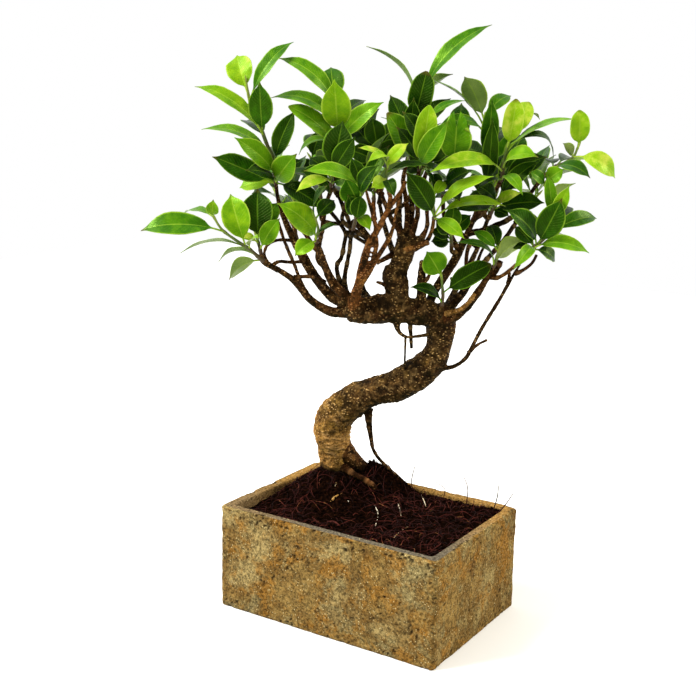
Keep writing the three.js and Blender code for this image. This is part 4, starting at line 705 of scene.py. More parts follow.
# What stands out on the soil, by where it is seen: [thickness, tone, whether it stands, places]
STRAYS = [
    [2.2, 0.78, False, [(-32, 89.5), (-29.5, 92), (-26, 94.5)]],
    [0.8, 0.72, False, [(-26, 94), (-23, 97)]],
    [0.9, 1.0, False, [(2, 90), (6.5, 80.5), (5, 70), (3, 63)]],
    [0.8, 0.95, False, [(22.5, 89.5), (24.5, 83), (25.4, 77)]],
    [0.8, 0.92, False, [(40, 98), (43, 93), (45.4, 86.7)]],
    [0.6, 0.85, False, [(13, 51), (25, 64.5), (31.4, 69)]],
    [2.2, 0.42, False, [(-34.8, 71.7), (-29, 71), (-24, 67.6)]],
    [0.7, 0.95, False, [(-20, 93), (-18, 90), (-16, 88)]],
    [0.7, 0.9, False, [(-28, 107), (-28, 105), (-29, 102)]],
    [0.9, 0.6, False, [(5, 90), (10, 87), (16, 84)]],
    [0.8, 0.55, False, [(64, 82), (69, 88)]],
    [1.0, 0.3, True, [(34, 100), (33, 110), (35.2, 121.5)]],
    [0.8, 0.45, True, [(59, 95), (60, 102.5), (51, 109)]],
    [0.9, 0.4, True, [(78, 90), (78.5, 104), (74.2, 115)]],
    [1.0, 0.2, True, [(99, 82), (102.7, 95.8), (103.5, 107)]],
    [0.9, 0.35, True, [(102, 81), (109.6, 90), (116, 101)]],
    [0.5, 0.5, True, [(82, 82), (84, 88), (83, 96)]],
]


class Curve:
    """A smooth line through points. A share from 0 to 1 counts its spans evenly, whatever their length."""

    def __init__(self, points):
        self.points = [np.array(p, float) for p in points]
        before = 2 * self.points[0] - self.points[1]
        after = 2 * self.points[-1] - self.points[-2]
        self.padded = [before, *self.points, after]

    def at(self, share):
        """The centripetal Catmull-Rom point at a share of the line."""
        spans = len(self.points) - 1
        span = min(int(share * spans), spans - 1)
        t = share * spans - span
        p0, p1, p2, p3 = self.padded[span:span + 4]
        d0, d1, d2 = (math.sqrt(np.linalg.norm(b - a)) for a, b in ((p0, p1), (p1, p2), (p2, p3)))
        start = ((p1 - p0) / d0 - (p2 - p0) / (d0 + d1) + (p2 - p1) / d1) * d1
        end = ((p2 - p1) / d1 - (p3 - p1) / (d1 + d2) + (p3 - p2) / d2) * d1
        return (
            p1
            + start * t
            + (3 * (p2 - p1) - 2 * start - end) * t**2
            + (2 * (p1 - p2) + start + end) * t**3
        )

    def along(self, share):
        """The direction of the line at a share of it."""
        return unit(self.at(min(1, share + NUDGE)) - self.at(max(0, share - NUDGE)))

    def length(self):
        points = [self.at(i / LENGTH_STEPS) for i in range(LENGTH_STEPS + 1)]
        return sum(float(np.linalg.norm(b - a)) for a, b in zip(points, points[1:]))


class Shell:
    """The vertices, faces and per-vertex values of one piece, gathered from closed tubes."""

    def __init__(self, *values):
        self.points = []
        self.faces = []
        self.looks = []
        self.values = {name: [] for name in values}

    def add(self, points, faces, look=0, **values):
        first = len(self.points)
        self.points.extend(points)
        self.faces.extend(tuple(first + i for i in face) for face in faces)
        self.looks.extend([look] * len(faces))
        for name, kept in self.values.items():
            kept.extend(np.broadcast_to(values.get(name, 0.0), len(points)))

    def add_tube(self, rings, look=0, **values):
        """Adds a tube through rings, an array of [ring, side, xyz], closed at both ends."""
        count, sides, _ = rings.shape
        faces = [tuple(range(sides - 1, -1, -1)), tuple(range((count - 1) * sides, count * sides))]
        for start in range(0, (count - 1) * sides, sides):
            for side in range(sides):
                after = start + (side + 1) % sides
                faces.append((start + side, after, after + sides, start + side + sides))
        spread = {}
        for name, value in values.items():
            spread[name] = np.broadcast_to(value, (count, sides)).reshape(-1)
        self.add(rings.reshape(-1, 3), faces, look, **spread)

    def mesh(self, name):
        mesh = bpy.data.meshes.new(name)
        mesh.from_pydata((np.array(self.points) * MM).tolist(), [], self.faces)
        mesh.polygons.foreach_set("material_index", self.looks)
        write_values(mesh, self.values)
        return mesh

    def piece(self, name, slot, materials, nodes=()):
        make_piece(self.mesh(name), name, materials, nodes)


def write_values(mesh, values):
    for name, kept in values.items():
        attribute = mesh.attributes.new(name, "FLOAT", "POINT")
        attribute.data.foreach_set("value", np.array(kept, np.float32))


def make_piece(mesh, name, materials, nodes=()):
    """Puts a mesh in the scene as a smooth piece of the object, standing for some CAD nodes."""
    mesh.polygons.foreach_set("use_smooth", [True] * len(mesh.polygons))
    for material in materials:
        mesh.materials.append(material)
    mesh.validate()
    mesh.update()
    piece = bpy.data.objects.new(name, mesh)
    bpy.context.scene.collection.objects.link(piece)
    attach(piece, "root")
    if nodes:
        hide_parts(*nodes)


def place(seen):
    """A place as seen from the front of the tree, in the trough's frame."""
    across, height, depth = seen[:3]
    spread = 1 - depth / EYE[1]
    return TURN @ [EYE[0] + (across - EYE[0]) * spread, depth, EYE[2] + (height - EYE[2]) * spread]


def unit(vector):
    return vector / np.linalg.norm(vector)


def mix(a, b, share):
    return a + (b - a) * share


def ease(share):
    """0 to 1 with a soft start and end, whatever the share."""
    share = min(1.0, max(0.0, share))
    return share * share * (3 - 2 * share)


def lumps(point, size, octaves, seed=0.0):
    """Smooth noise from about -1 to 1 whose widest lumps are about size across."""
    at = Vector(point) / size + Vector((seed, 2 * seed, -seed))
    return noise.fractal(at, 0.9, 2.1, octaves)


def to_cell(point, spacing):
    """How far a point is from the middle of the nearest random cell, as a share of their spacing."""
    return noise.voronoi(Vector(point) / spacing)[0][0]


def make_random(seed):
    """A repeatable random number from 0 to 1, the same as in the part's source."""
    factor = 1664525
    step = 1013904223
    limit = 2**32
    state = seed

    def draw():
        nonlocal state
        state = (state * factor + step) % limit
        return state / limit

    return draw


def stations(curve, thicknesses, step):
    """Evenly counted stations along a curve: [share, place, direction, across, other, radius]."""
    count = max(3, round(curve.length() / step))
    spans = len(thicknesses) - 1
    across = None
    made = []
    for i in range(count + 1):
        share = i / count
        index = min(share * spans, spans - NUDGE)
        lower = int(index)
        radius = mix(thicknesses[lower], thicknesses[lower + 1], index - lower) / 2
        along = curve.along(share)
        if across is None:
            across = np.cross([0, 1, 0], along)
            if np.linalg.norm(across) < 0.1:
                across = np.cross([1, 0, 0], along)
        across = unit(across - along * (across @ along))
        made.append([share, curve.at(share), along, across, np.cross(along, across), radius])
    return made


def rings_of(made, sides, relief=None):
    """Rings of points round stations. The relief is how far a point stands proud, by station and angle."""
    rings = []
    for station in made:
        _, at, _, across, other, radius = station
        ring = []
        for side in range(sides):
            angle = 2 * math.pi * side / sides
            reach = radius + (relief(station, angle) if relief else 0)
            ring.append(at + across * math.cos(angle) * reach + other * math.sin(angle) * reach)
        rings.append(ring)
    return np.array(rings)


def searchable(places):
    """A tree of places in which the nearest are quickly found."""
    tree = kdtree.KDTree(len(places))
    for i, at in enumerate(places):
        tree.insert(at, i)
    tree.balance()
    return tree


def route_curve(name):
    return Curve([place(point) for point in WOOD[name]])


def route_thicknesses(name):
    return [point[3] for point in WOOD[name]]


# Materials


class Look:
    """A procedural material while its nodes are wired."""

    def __init__(self, name, **settings):
        self.material = bpy.data.materials.new(name)
        self.material.use_nodes = True
        self.nodes = self.material.node_tree.nodes
        self.links = self.material.node_tree.links
        self.shader = self.nodes["Principled BSDF"]
        for socket, value in settings.items():
            self.shader.inputs[socket.replace("_", " ")].default_value = value
        self.coordinates = self.nodes.new("ShaderNodeTexCoord").outputs["Object"]

    def feed(self, socket, value):
        """Links an output to a socket, or sets the socket to a number or colour."""
        if isinstance(value, bpy.types.NodeSocket):
            self.links.new(value, socket)
        elif socket.type == "RGBA":
            socket.default_value = (*value, 1)
        else:
            socket.default_value = value

    def set(self, socket, value):
        self.feed(self.shader.inputs[socket], value)

    def attribute(self, name):
        node = self.nodes.new("ShaderNodeAttribute")
        node.attribute_name = name
        return node.outputs["Fac"]

    def math(self, operation, a, b=0.0):
        node = self.nodes.new("ShaderNodeMath")
        node.operation = operation
        self.feed(node.inputs[0], a)
        self.feed(node.inputs[1], b)
        return node.outputs[0]

    def plus(self, a, b):
        return self.math("ADD", a, b)

    def times(self, a, b):
        return self.math("MULTIPLY", a, b)

    def larger(self, a, b):
        return self.math("MAXIMUM", a, b)

    def span(self, value, low, high, new_low=0.0, new_high=1.0):
        """The value's place between two limits, clamped."""
        node = self.nodes.new("ShaderNodeMapRange")
        for index, given in enumerate((value, low, high, new_low, new_high)):
            self.feed(node.inputs[index], given)
        return node.outputs[0]

    def stretched(self, x, y, z):
        """Object coordinates with another scale on each axis."""
        node = self.nodes.new("ShaderNodeMapping")
        self.feed(node.inputs["Vector"], self.coordinates)
        node.inputs["Scale"].default_value = (x, y, z)
        return node.outputs[0]

    def noise(self, size, detail=3.0, roughness=0.55, distortion=0.0):
        """Noise whose lumps are about size millimetres across."""
        node = self.nodes.new("ShaderNodeTexNoise")
        self.feed(node.inputs["Vector"], self.coordinates)
        node.inputs["Scale"].default_value = 1 / (size * MM)
        node.inputs["Detail"].default_value = detail
        node.inputs["Roughness"].default_value = roughness
        node.inputs["Distortion"].default_value = distortion
        return node.outputs[0]

    def cells(self, size, coordinates=None):
        """Distance from the middle of the nearest random cell, of cells about size millimetres wide."""
        node = self.nodes.new("ShaderNodeTexVoronoi")
        self.feed(node.inputs["Vector"], coordinates or self.coordinates)
        node.inputs["Scale"].default_value = 1 / (size * MM)
        return node.outputs["Distance"]

    def ramp(self, value, *stops):
        """A colour for each value: stops are (place, colour)."""
        node = self.nodes.new("ShaderNodeValToRGB")
        self.feed(node.inputs[0], value)
        while len(node.color_ramp.elements) < len(stops):
            node.color_ramp.elements.new(0.5)
        for element, (at, colour) in zip(node.color_ramp.elements, stops):
            element.position = at
            element.color = (*colour, 1)
        return node.outputs[0]

    def blend(self, share, a, b, mode="MIX"):
        node = self.nodes.new("ShaderNodeMix")
        node.data_type = "RGBA"
        node.blend_type = mode
        self.feed(node.inputs[0], share)
        self.feed(node.inputs[6], a)
        self.feed(node.inputs[7], b)
        return node.outputs[2]

    def shaded(self, colour, factor):
        """The colour, darker or lighter by a factor."""
        return self.blend(1.0, colour, factor, "MULTIPLY")

    def normal_z(self):
        """How far the surface faces up, from -1 to 1."""
        geometry = self.nodes.new("ShaderNodeNewGeometry")
        split = self.nodes.new("ShaderNodeSeparateXYZ")
        self.feed(split.inputs[0], geometry.outputs["Normal"])
        return split.outputs[2]

    def bump(self, height, depth):
        """Bump of a height from 0 to 1, as deep as the given millimetres."""
        node = self.nodes.new("ShaderNodeBump")
        node.inputs["Distance"].default_value = depth * MM
        self.feed(node.inputs["Height"], height)
        self.set("Normal", node.outputs[0])


def leaf_look():
    """A glossy leaf: dark to yellow-green by tone, which is partly age and partly painted light and shade,
    with a pale midrib, margin and underside.
    """
    old_vein = (0.09, 0.2, 0.008)
    young_vein = (0.28, 0.4, 0.035)
    dry_brown = (0.065, 0.04, 0.008)
    freckle_brown = (0.06, 0.045, 0.01)
    side_veins = 16.0
    vein_slant = 3.4
    look = Look("leaf_blade", Specular_IOR_Level=0.26)
    look.set("Specular Tint", (0.5, 1.0, 0.05))
    share = look.attribute("share")
    side = look.math("ABSOLUTE", look.attribute("side"))
    mottle = look.span(look.noise(8, 4), 0.3, 0.7, -0.11, 0.11)
    shade = look.plus(look.attribute("tone"), mottle)
    # The upper face's colour by tone: its dark end is painted shade and its bright end painted light, besides
    # the leaf's age
    above = look.ramp(
        shade,
        (0.0, (0.001, 0.0095, 0.0004)),
        (0.2, (0.0034, 0.025, 0.0006)),
        (0.45, (0.019, 0.088, 0.0014)),
        (0.7, (0.075, 0.19, 0.0025)),
        (0.88, (0.16, 0.29, 0.0045)),
        (1.0, (0.33, 0.39, 0.04)),
    )
    below = look.ramp(
        shade,
        (0.0, (0.03, 0.066, 0.011)),
        (0.5, (0.09, 0.155, 0.03)),
        (1.0, (0.22, 0.29, 0.07)),
    )
    face = look.blend(look.attribute("upper"), below, above)
    midrib = look.span(side, 0.02, 0.07, 0.45, 0.0)
    margin = look.span(side, 0.86, 0.95, 0.0, 0.75)
    stalk = look.span(share, 0.0, 0.03, 0.9, 0.0)
    pale = look.larger(look.larger(midrib, margin), stalk)
    # Side veins leave the midrib at a slant
    slanted = look.math("SUBTRACT", look.times(share, side_veins), look.times(side, vein_slant))
    wave = look.math("SINE", look.times(slanted, 2 * math.pi))
    vein = look.span(wave, 0.85, 1.0)
    pale = look.larger(pale, look.times(vein, 0.1))
    face = look.blend(pale, face, look.blend(look.span(shade, 0.0, 0.8), old_vein, young_vein))
    # Some tips are dry, and all blades are freckled
    dry = look.times(look.span(share, 0.9, 0.99), look.attribute("dry"))
    face = look.blend(dry, face, dry_brown)
    freckle = look.span(look.cells(6.0), 0.05, 0.09, 0.5, 0.0)
    look.set("Base Color", look.blend(freckle, face, freckle_brown))
    look.set("Roughness", look.span(look.noise(6, 3), 0.3, 0.7, 0.22, 0.48))
    look.bump(look.plus(look.times(vein, 0.5), look.noise(3.5, 3)), 0.2)
    return look.material


def stem_look():
    """A young stem, brown and corky at its foot and green at its top."""
    freckle_cream = (0.2, 0.16, 0.07)
    look = Look("green_stem", Roughness=0.5, Specular_IOR_Level=0.25)
    share = look.plus(look.attribute("share"), look.span(look.noise(5), 0.3, 0.7, -0.15, 0.15))
    colour = look.ramp(
        share,
        (0.0, (0.045, 0.02, 0.007)),
        (0.3, (0.055, 0.04, 0.009)),
        (0.6, (0.055, 0.095, 0.01)),
        (0.95, (0.15, 0.2, 0.02)),
    )
    freckles = look.span(look.cells(1.4), 0.12, 0.22, 0.5, 0.0)
    look.set("Base Color", look.blend(freckles, colour, freckle_cream))
    look.bump(look.noise(1.5), 0.15)
    return look.material


def bark_look():
    """Old fig bark: brown to gold by its light value, partly painted light and shade, with pale wrinkles and
    lenticels, painted shade in its hollows, darker near the soil, and undersides painted near black, partly
    painted shade and partly mossy.
    """
    olive_tint = (0.62, 0.8, 0.5)
    pale_cream = (0.56, 0.36, 0.13)
    pale_rust = (0.48, 0.22, 0.08)
    hollow_shade_and_soil_black = (0.0045, 0.0028, 0.0015)
    underside_shade_and_moss_black = (0.006, 0.0062, 0.0016)
    look = Look("bark", Roughness=0.8, Specular_IOR_Level=0.06)
    look.set("Specular Tint", (1.0, 0.6, 0.2))
    rust = look.attribute("rust")
    patches = look.noise(10, 5, 0.65, 0.6)
    light = look.plus(look.attribute("light"), look.span(patches, 0.3, 0.7, -0.3, 0.3))
    # Bark by its light value: its dark end is partly painted shade and its gold end painted light
    brown = look.ramp(
        light,
        (0.0, (0.004, 0.0028, 0.0018)),
        (0.3, (0.015, 0.0082, 0.0032)),
        (0.55, (0.052, 0.029, 0.009)),
        (0.8, (0.19, 0.098, 0.023)),
        (1.0, (0.36, 0.205, 0.055)),
    )
    rusty = look.ramp(
        light,
        (0.0, (0.012, 0.0035, 0.0015)),
        (0.5, (0.07, 0.023, 0.006)),
        (1.0, (0.24, 0.095, 0.022)),
    )
    colour = look.blend(rust, brown, rusty)
    olive = look.span(look.noise(17, 4, 0.6), 0.45, 0.62, 0.0, 0.5)
    colour = look.blend(olive, colour, look.shaded(colour, olive_tint))
    fine = look.noise(1.7, 4, 0.75)
    # Bark painted lit gold is calmer than the rest
    calm = look.span(look.attribute("light"), 0.5, 0.8, 1.0, 0.35)
    blotches = look.span(look.noise(4.2, 4, 0.7), 0.38, 0.62, -0.65, 0.5)
    colour = look.shaded(colour, look.plus(1.0, look.times(blotches, calm)))
    colour = look.shaded(colour, look.span(fine, 0.36, 0.64, 0.3, 1.75))
    dots = look.span(look.cells(2.8, look.stretched(1, 1, 1.6)), 0.2, 0.32, 1.0, 0.0)
    dots = look.times(dots, look.span(look.noise(8, 3), 0.43, 0.55, 0.1, 1.0))
    seen_dots = look.times(dots, look.span(light, 0.1, 0.55, 0.25, 1.0))
    pale = look.larger(look.attribute("pale"), seen_dots)
    colour = look.blend(pale, colour, look.blend(rust, pale_cream, pale_rust))
    # Painted shade in the hollows, and darkening near the soil
    colour = look.blend(look.attribute("hollow_shade_and_soil_dark"), colour, hollow_shade_and_soil_black)
    # Undersides are painted near black: painted shade, and partly mossy bark
    underneath = look.span(look.normal_z(), -0.8, 0.0, 1.0, 0.0)
    underside_shade_and_moss = look.times(underneath, look.span(fine, 0.3, 0.6, 1.0, 0.6))
    look.set("Base Color", look.blend(underside_shade_and_moss, colour, underside_shade_and_moss_black))
    look.bump(look.plus(fine, look.times(dots, 0.8)), 0.6)
    return look.material


def stone_look():
    """Sandy, speckled stone: ochre and grey patches, pale grains with painted glints, painted shade in its
    pits, dark specks and a worn rim, golden in part by painted light.
    """
    ochre = (0.16, 0.074, 0.011)
    lichen_grey = (0.135, 0.112, 0.048)
    soot_brown = (0.05, 0.029, 0.009)
    worn_grey = (0.062, 0.061, 0.05)
    sand_and_lit_gold = (0.21, 0.118, 0.032)
    pale_grain_glint = (0.46, 0.37, 0.18)
    pit_shade_and_speck_black = (0.01, 0.006, 0.003)
    look = Look("split_stone", Roughness=0.9, Specular_IOR_Level=0.05)
    look.set("Specular Tint", (1.0, 0.85, 0.6))
    broad = look.noise(46, 5, 0.6, 0.5)
    patches = look.noise(19, 6, 0.68, 0.4)
    grains = look.noise(1.9, 3, 0.8)
    colour = look.ramp(
        broad,
        (0.34, (0.085, 0.046, 0.012)),
        (0.44, (0.16, 0.102, 0.03)),
        (0.52, (0.098, 0.056, 0.015)),
        (0.64, (0.195, 0.143, 0.054)),
    )
    colour = look.blend(look.span(patches, 0.5, 0.6, 0.0, 0.75), colour, ochre)
    grey = look.span(look.noise(26, 6, 0.68, 0.5), 0.54, 0.62, 0.0, 0.6)
    colour = look.blend(grey, colour, lichen_grey)
    soot = look.span(look.noise(13, 6, 0.7, 0.6), 0.42, 0.34, 0.0, 0.65)
    colour = look.blend(soot, colour, soot_brown)
    # The rim and inner walls: worn grey, and golden partly as sandy stone and partly as painted light
    worn = look.blend(look.attribute("gold"), worn_grey, sand_and_lit_gold)
    colour = look.blend(look.attribute("rim"), colour, worn)
    colour = look.shaded(colour, look.span(grains, 0.36, 0.64, 0.3, 1.7))
    # Pale grains with painted glints on them
    grain_glint = look.span(look.cells(2.3), 0.14, 0.24, 0.8, 0.0)
    grain_glint = look.times(grain_glint, look.span(look.noise(6, 3), 0.42, 0.58, 0.0, 1.0))
    colour = look.blend(grain_glint, colour, pale_grain_glint)
    dark_speck = look.span(look.cells(2.8, look.stretched(1.1, 0.9, 1.0)), 0.1, 0.18, 0.85, 0.0)
    dark_speck = look.times(dark_speck, look.span(look.noise(24, 4, 0.7), 0.5, 0.62, 0.0, 1.0))
    # Pits are painted near black as painted shade, and the dark specks are the stone's own
    pits = look.larger(look.attribute("pit"), dark_speck)
    look.set("Base Color", look.blend(pits, colour, pit_shade_and_speck_black))
    look.bump(look.math("SUBTRACT", look.plus(grains, patches), look.times(pits, 1.4)), 0.8)
    return look.material


def soil_look():
    """Damp, nearly black soil with reddish crumbs."""
    look = Look("soil_crust", Roughness=1.0, Specular_IOR_Level=0.0)
    crumbs = look.noise(2.2, 5, 0.7)
    colour = look.ramp(
        crumbs,
        (0.36, (0.001, 0.0006, 0.0005)),
        (0.52, (0.0035, 0.0015, 0.0009)),
        (0.66, (0.015, 0.005, 0.0022)),
        (0.8, (0.06, 0.024, 0.009)),
    )
    look.set("Base Color", colour)
    look.bump(crumbs, 1.2)
    return look.material


def fibre_look():
    """Coir and roots, from dark red-brown to nearly white by tone."""
    look = Look("fibres", Roughness=0.7, Specular_IOR_Level=0.08)
    tone = look.plus(look.attribute("tone"), look.span(look.noise(3), 0.3, 0.7, -0.12, 0.12))
    colour = look.ramp(
        tone,
        (0.0, (0.003, 0.001, 0.0007)),
        (0.35, (0.02, 0.0026, 0.002)),
        (0.6, (0.08, 0.015, 0.009)),
        (0.8, (0.3, 0.17, 0.042)),
        (1.0, (0.62, 0.56, 0.44)),
    )
    look.set("Base Color", colour)
    return look.material


# Leafy shoots

# A leaf's section, from one margin under the blade to the other and back over it
SIDE = np.array(COLUMNS + [-column for column in COLUMNS])
UPPER = np.array([0] * len(COLUMNS) + [1] * len(COLUMNS))
FACE = np.where(UPPER, 1, -1)
BODY = FACE * BLADE_HALF_THICKNESS * np.sqrt(1 - SIDE**2)
MIDRIB = (np.abs(SIDE) < 0.1) * np.where(UPPER, -MIDRIB_GROOVE, -MIDRIB_RISE)
LOBE = np.sin(math.pi * np.abs(SIDE)) - 0.35
ROUND = np.arange(len(SIDE)) * 2 * math.pi / len(SIDE)
STALK_ACROSS = np.cos(ROUND) * PETIOLE_THICKNESS / 2
STALK_UP = -np.sin(ROUND) * PETIOLE_THICKNESS / 2

# Where a leaf's rings lie: [share of the whole leaf, share of the blade]
LEAF_STATIONS = [(share, BEFORE_BLADE) for share in PETIOLE_STATIONS]
LEAF_STATIONS += [(mix(PETIOLE_SHARE, 1, share), share) for share in BLADE_STATIONS]


def leaf_rings(foot, tip, leaf, draw):
    """A leaf's rings from the foot of its stalk to its tip."""
    width = leaf["width"]
    facing = math.radians(leaf["facing"])
    chord = tip - foot
    length = np.linalg.norm(chord)
    forward = chord / length
    wanted = TURN @ [0, -math.sin(facing), math.cos(facing)]
    normal = unit(wanted - forward * (wanted @ forward))
    across = np.cross(forward, normal)
    middle = foot + ARCH_PEAK * chord + normal * leaf["arch"] * length * 2
    fold = draw.uniform(*FOLD)
    wave = draw.uniform(*WAVE_HEIGHT)
    wave_count = draw.uniform(*WAVES_ALONG)
    phases = [draw.uniform(0, 2 * math.pi), draw.uniform(0, 2 * math.pi)]
    curl = draw.uniform(*TIP_CURL) * length
    rings = []
    for share, on_blade in LEAF_STATIONS:
        at = (1 - share) ** 2 * foot + 2 * share * (1 - share) * middle + share**2 * tip
        along = unit((1 - share) * (middle - foot) + share * (tip - middle))
        up = unit(-np.cross(along, across))
        at = at - up * curl * (max(0, on_blade - CURL_START) / (1 - CURL_START)) ** 2
        half = np.interp(on_blade, OUTLINE_SHARES, OUTLINES[leaf["shape"]]) * width / 2
        waves = wave * np.sin(2 * math.pi * wave_count * on_blade + np.where(SIDE > 0, *phases)) * SIDE**2
        lift = half * (fold * np.abs(SIDE) ** 1.2 + waves) + BODY + MIDRIB * max(0, 1 - on_blade) ** 0.7
        opened = ease(on_blade / BLADE_OPENS)
        ring_across = mix(STALK_ACROSS, SIDE * half, opened)
        ring_up = mix(STALK_UP, lift, opened)
        ring = at + np.outer(ring_across, across) + np.outer(ring_up, up)
        if leaf["shape"] == "notched":
            reach = NOTCH * width * ease((on_blade - NOTCH_START) / (1 - NOTCH_START))
            ring = ring + np.outer(LOBE, along) * reach
        rings.append(ring)
    return np.array(rings)


def shoot_stem(plan):
    """A shoot's stem, from its foot, or on from the end of the branch that it continues."""
    places = [place(point) for point in plan["stem"]]
    if "on" in plan:
        branch = route_curve(plan["on"])
        end = branch.at(1)
        run = branch.along(1)
        places = [end + run * STEM_GAP, end + run * STEM_START, *places]
    return Curve(places)


def seen_leaf(share, across, height, depth, width, facing, tone=None, arch=BLADE_ARCH):
    """A leaf with a place of its own. Without a tone it gets one of the dark tones that paint shade on it."""
    return {
        "share": share, "tip": place([across, height, depth]), "width": width, "facing": facing, "arch": arch,
        "tones": PAINTED_SHADE_TONES if tone is None else [tone],
        "shape": SHAPE_OF.get((across, height), "drawn_out"),
    }


def ruled_leaves(curve, seed):
    """Leaves of a far shoot: set round the stem by the golden angle, rising more towards its top."""
    draw = make_random(seed)
    first_heading = draw() * math.pi * 2
    leaves = []
    for i in range(FAR_LEAVES):
        share = mix(*FAR_SHARE, i / (FAR_LEAVES - 1))
        heading = first_heading + i * GOLDEN_ANGLE
        rise = math.radians(mix(*FAR_RISE, share) + FAR_RISE_SPREAD * (draw() - 0.5))
        length = mix(*FAR_LENGTH, draw())
        width = mix(*FAR_WIDTH, draw())
        level = math.cos(rise)
        reach = TURN @ [math.cos(heading) * level, math.sin(heading) * level, math.sin(rise)] * length
        facing = FAR_FACING_SPREAD * (draw() - 0.5) - FAR_FACING_AWAY * math.sin(heading)
        leaves.append({
            "share": share, "tip": curve.at(share) + reach, "width": width, "facing": facing,
            "arch": BLADE_ARCH, "tones": FAR_TONES, "shape": "drawn_out",
        })
    return leaves


def bent_tip(tip, corners):
    """Where the CAD node has this leaf's tip, or None if the leaf found no room there."""
    for back, higher in BENDS:
        bent = tip + TURN @ [0, back, higher]
        if corners.find(bent)[2] < TIP_MATCH:
            return bent
    return None


def make_shoot(plan, looks):
    """A shoot's leaves, green stem and bud as one piece in place of its CAD node."""
    name = plan["name"]
    curve = shoot_stem(plan)
    if "seed" in plan:
        leaves = ruled_leaves(curve, plan["seed"])
    else:
        leaves = [seen_leaf(*values) for values in plan["leaves"]]
    draw = random.Random(name)
    shell = Shell("share", "side", "upper", "tone", "dry")
    corners = searchable([vertex.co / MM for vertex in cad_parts["shoot_" + name].data.vertices])

    def scars(station, angle):
        near = min(abs(station[0] - leaf["share"]) for leaf in leaves)
        return SCAR_RISE * math.exp(-((near / SCAR_REACH) ** 2)) + 0.1 * math.sin(3 * angle + 20 * station[0])

    made = stations(curve, STEM_THICKNESS, STEM_STEP)
    end = made[-1]
    for share, radius in BUD_SHAPE:
        made.append([1.0, end[1] + end[2] * BUD_LENGTH * share, *end[2:5], radius])
    made.insert(0, [0.0, made[0][1] - made[0][2] * STEM_OVERLAP, *made[0][2:]])
    shares = np.array([station[0] for station in made])[:, None]
    shell.add_tube(rings_of(made, STEM_SIDES, scars), look=1, share=shares)
    on_blades = np.array([on_blade for _, on_blade in LEAF_STATIONS])[:, None]
    for leaf in leaves:
        tone = draw.choice(leaf["tones"])
        dry = draw.choice(DRYNESS)
        tip = bent_tip(leaf["tip"], corners)
        if tip is not None:
            rings = leaf_rings(curve.at(leaf["share"]), tip, leaf, draw)
            shell.add_tube(rings, share=on_blades, side=SIDE, upper=UPPER, tone=tone, dry=dry)
    shell.piece("leaves_" + name, "leaf", looks, ["shoot_" + name])


# Wood


def twig_points(branch, share, foot, top):
    """A twig from a branch to the foot of a shoot, whose stem then follows on in the same direction."""
    start = route_curve(branch).at(share)
    run = unit(place(top) - place(foot))
    end = place(foot) - run * CLEARANCE
    bend = end - run * TWIG_BEND * np.linalg.norm(end - start)
    return [start, bend, end]


def remeshed(mesh, voxel):
    """The mesh's parts grown together into one skin of even cells."""
    source = bpy.data.objects.new("remesh_source", mesh)
    bpy.context.scene.collection.objects.link(source)
    modifier = source.modifiers.new("skin", "REMESH")
    modifier.mode = "VOXEL"
    modifier.voxel_size = voxel * MM
    smoothing = source.modifiers.new("soften", "SMOOTH")
    smoothing.factor = 0.5
    smoothing.iterations = 4
    depsgraph = bpy.context.evaluated_depsgraph_get()
    skin = bpy.data.meshes.new_from_object(source.evaluated_get(depsgraph))
    bpy.data.objects.remove(source)
    bpy.data.meshes.remove(mesh)
    return skin


def read_vertices(mesh, field):
    values = np.zeros(len(mesh.vertices) * 3, np.float32)
    mesh.vertices.foreach_get(field, values)
    return values.reshape(-1, 3).astype(float)


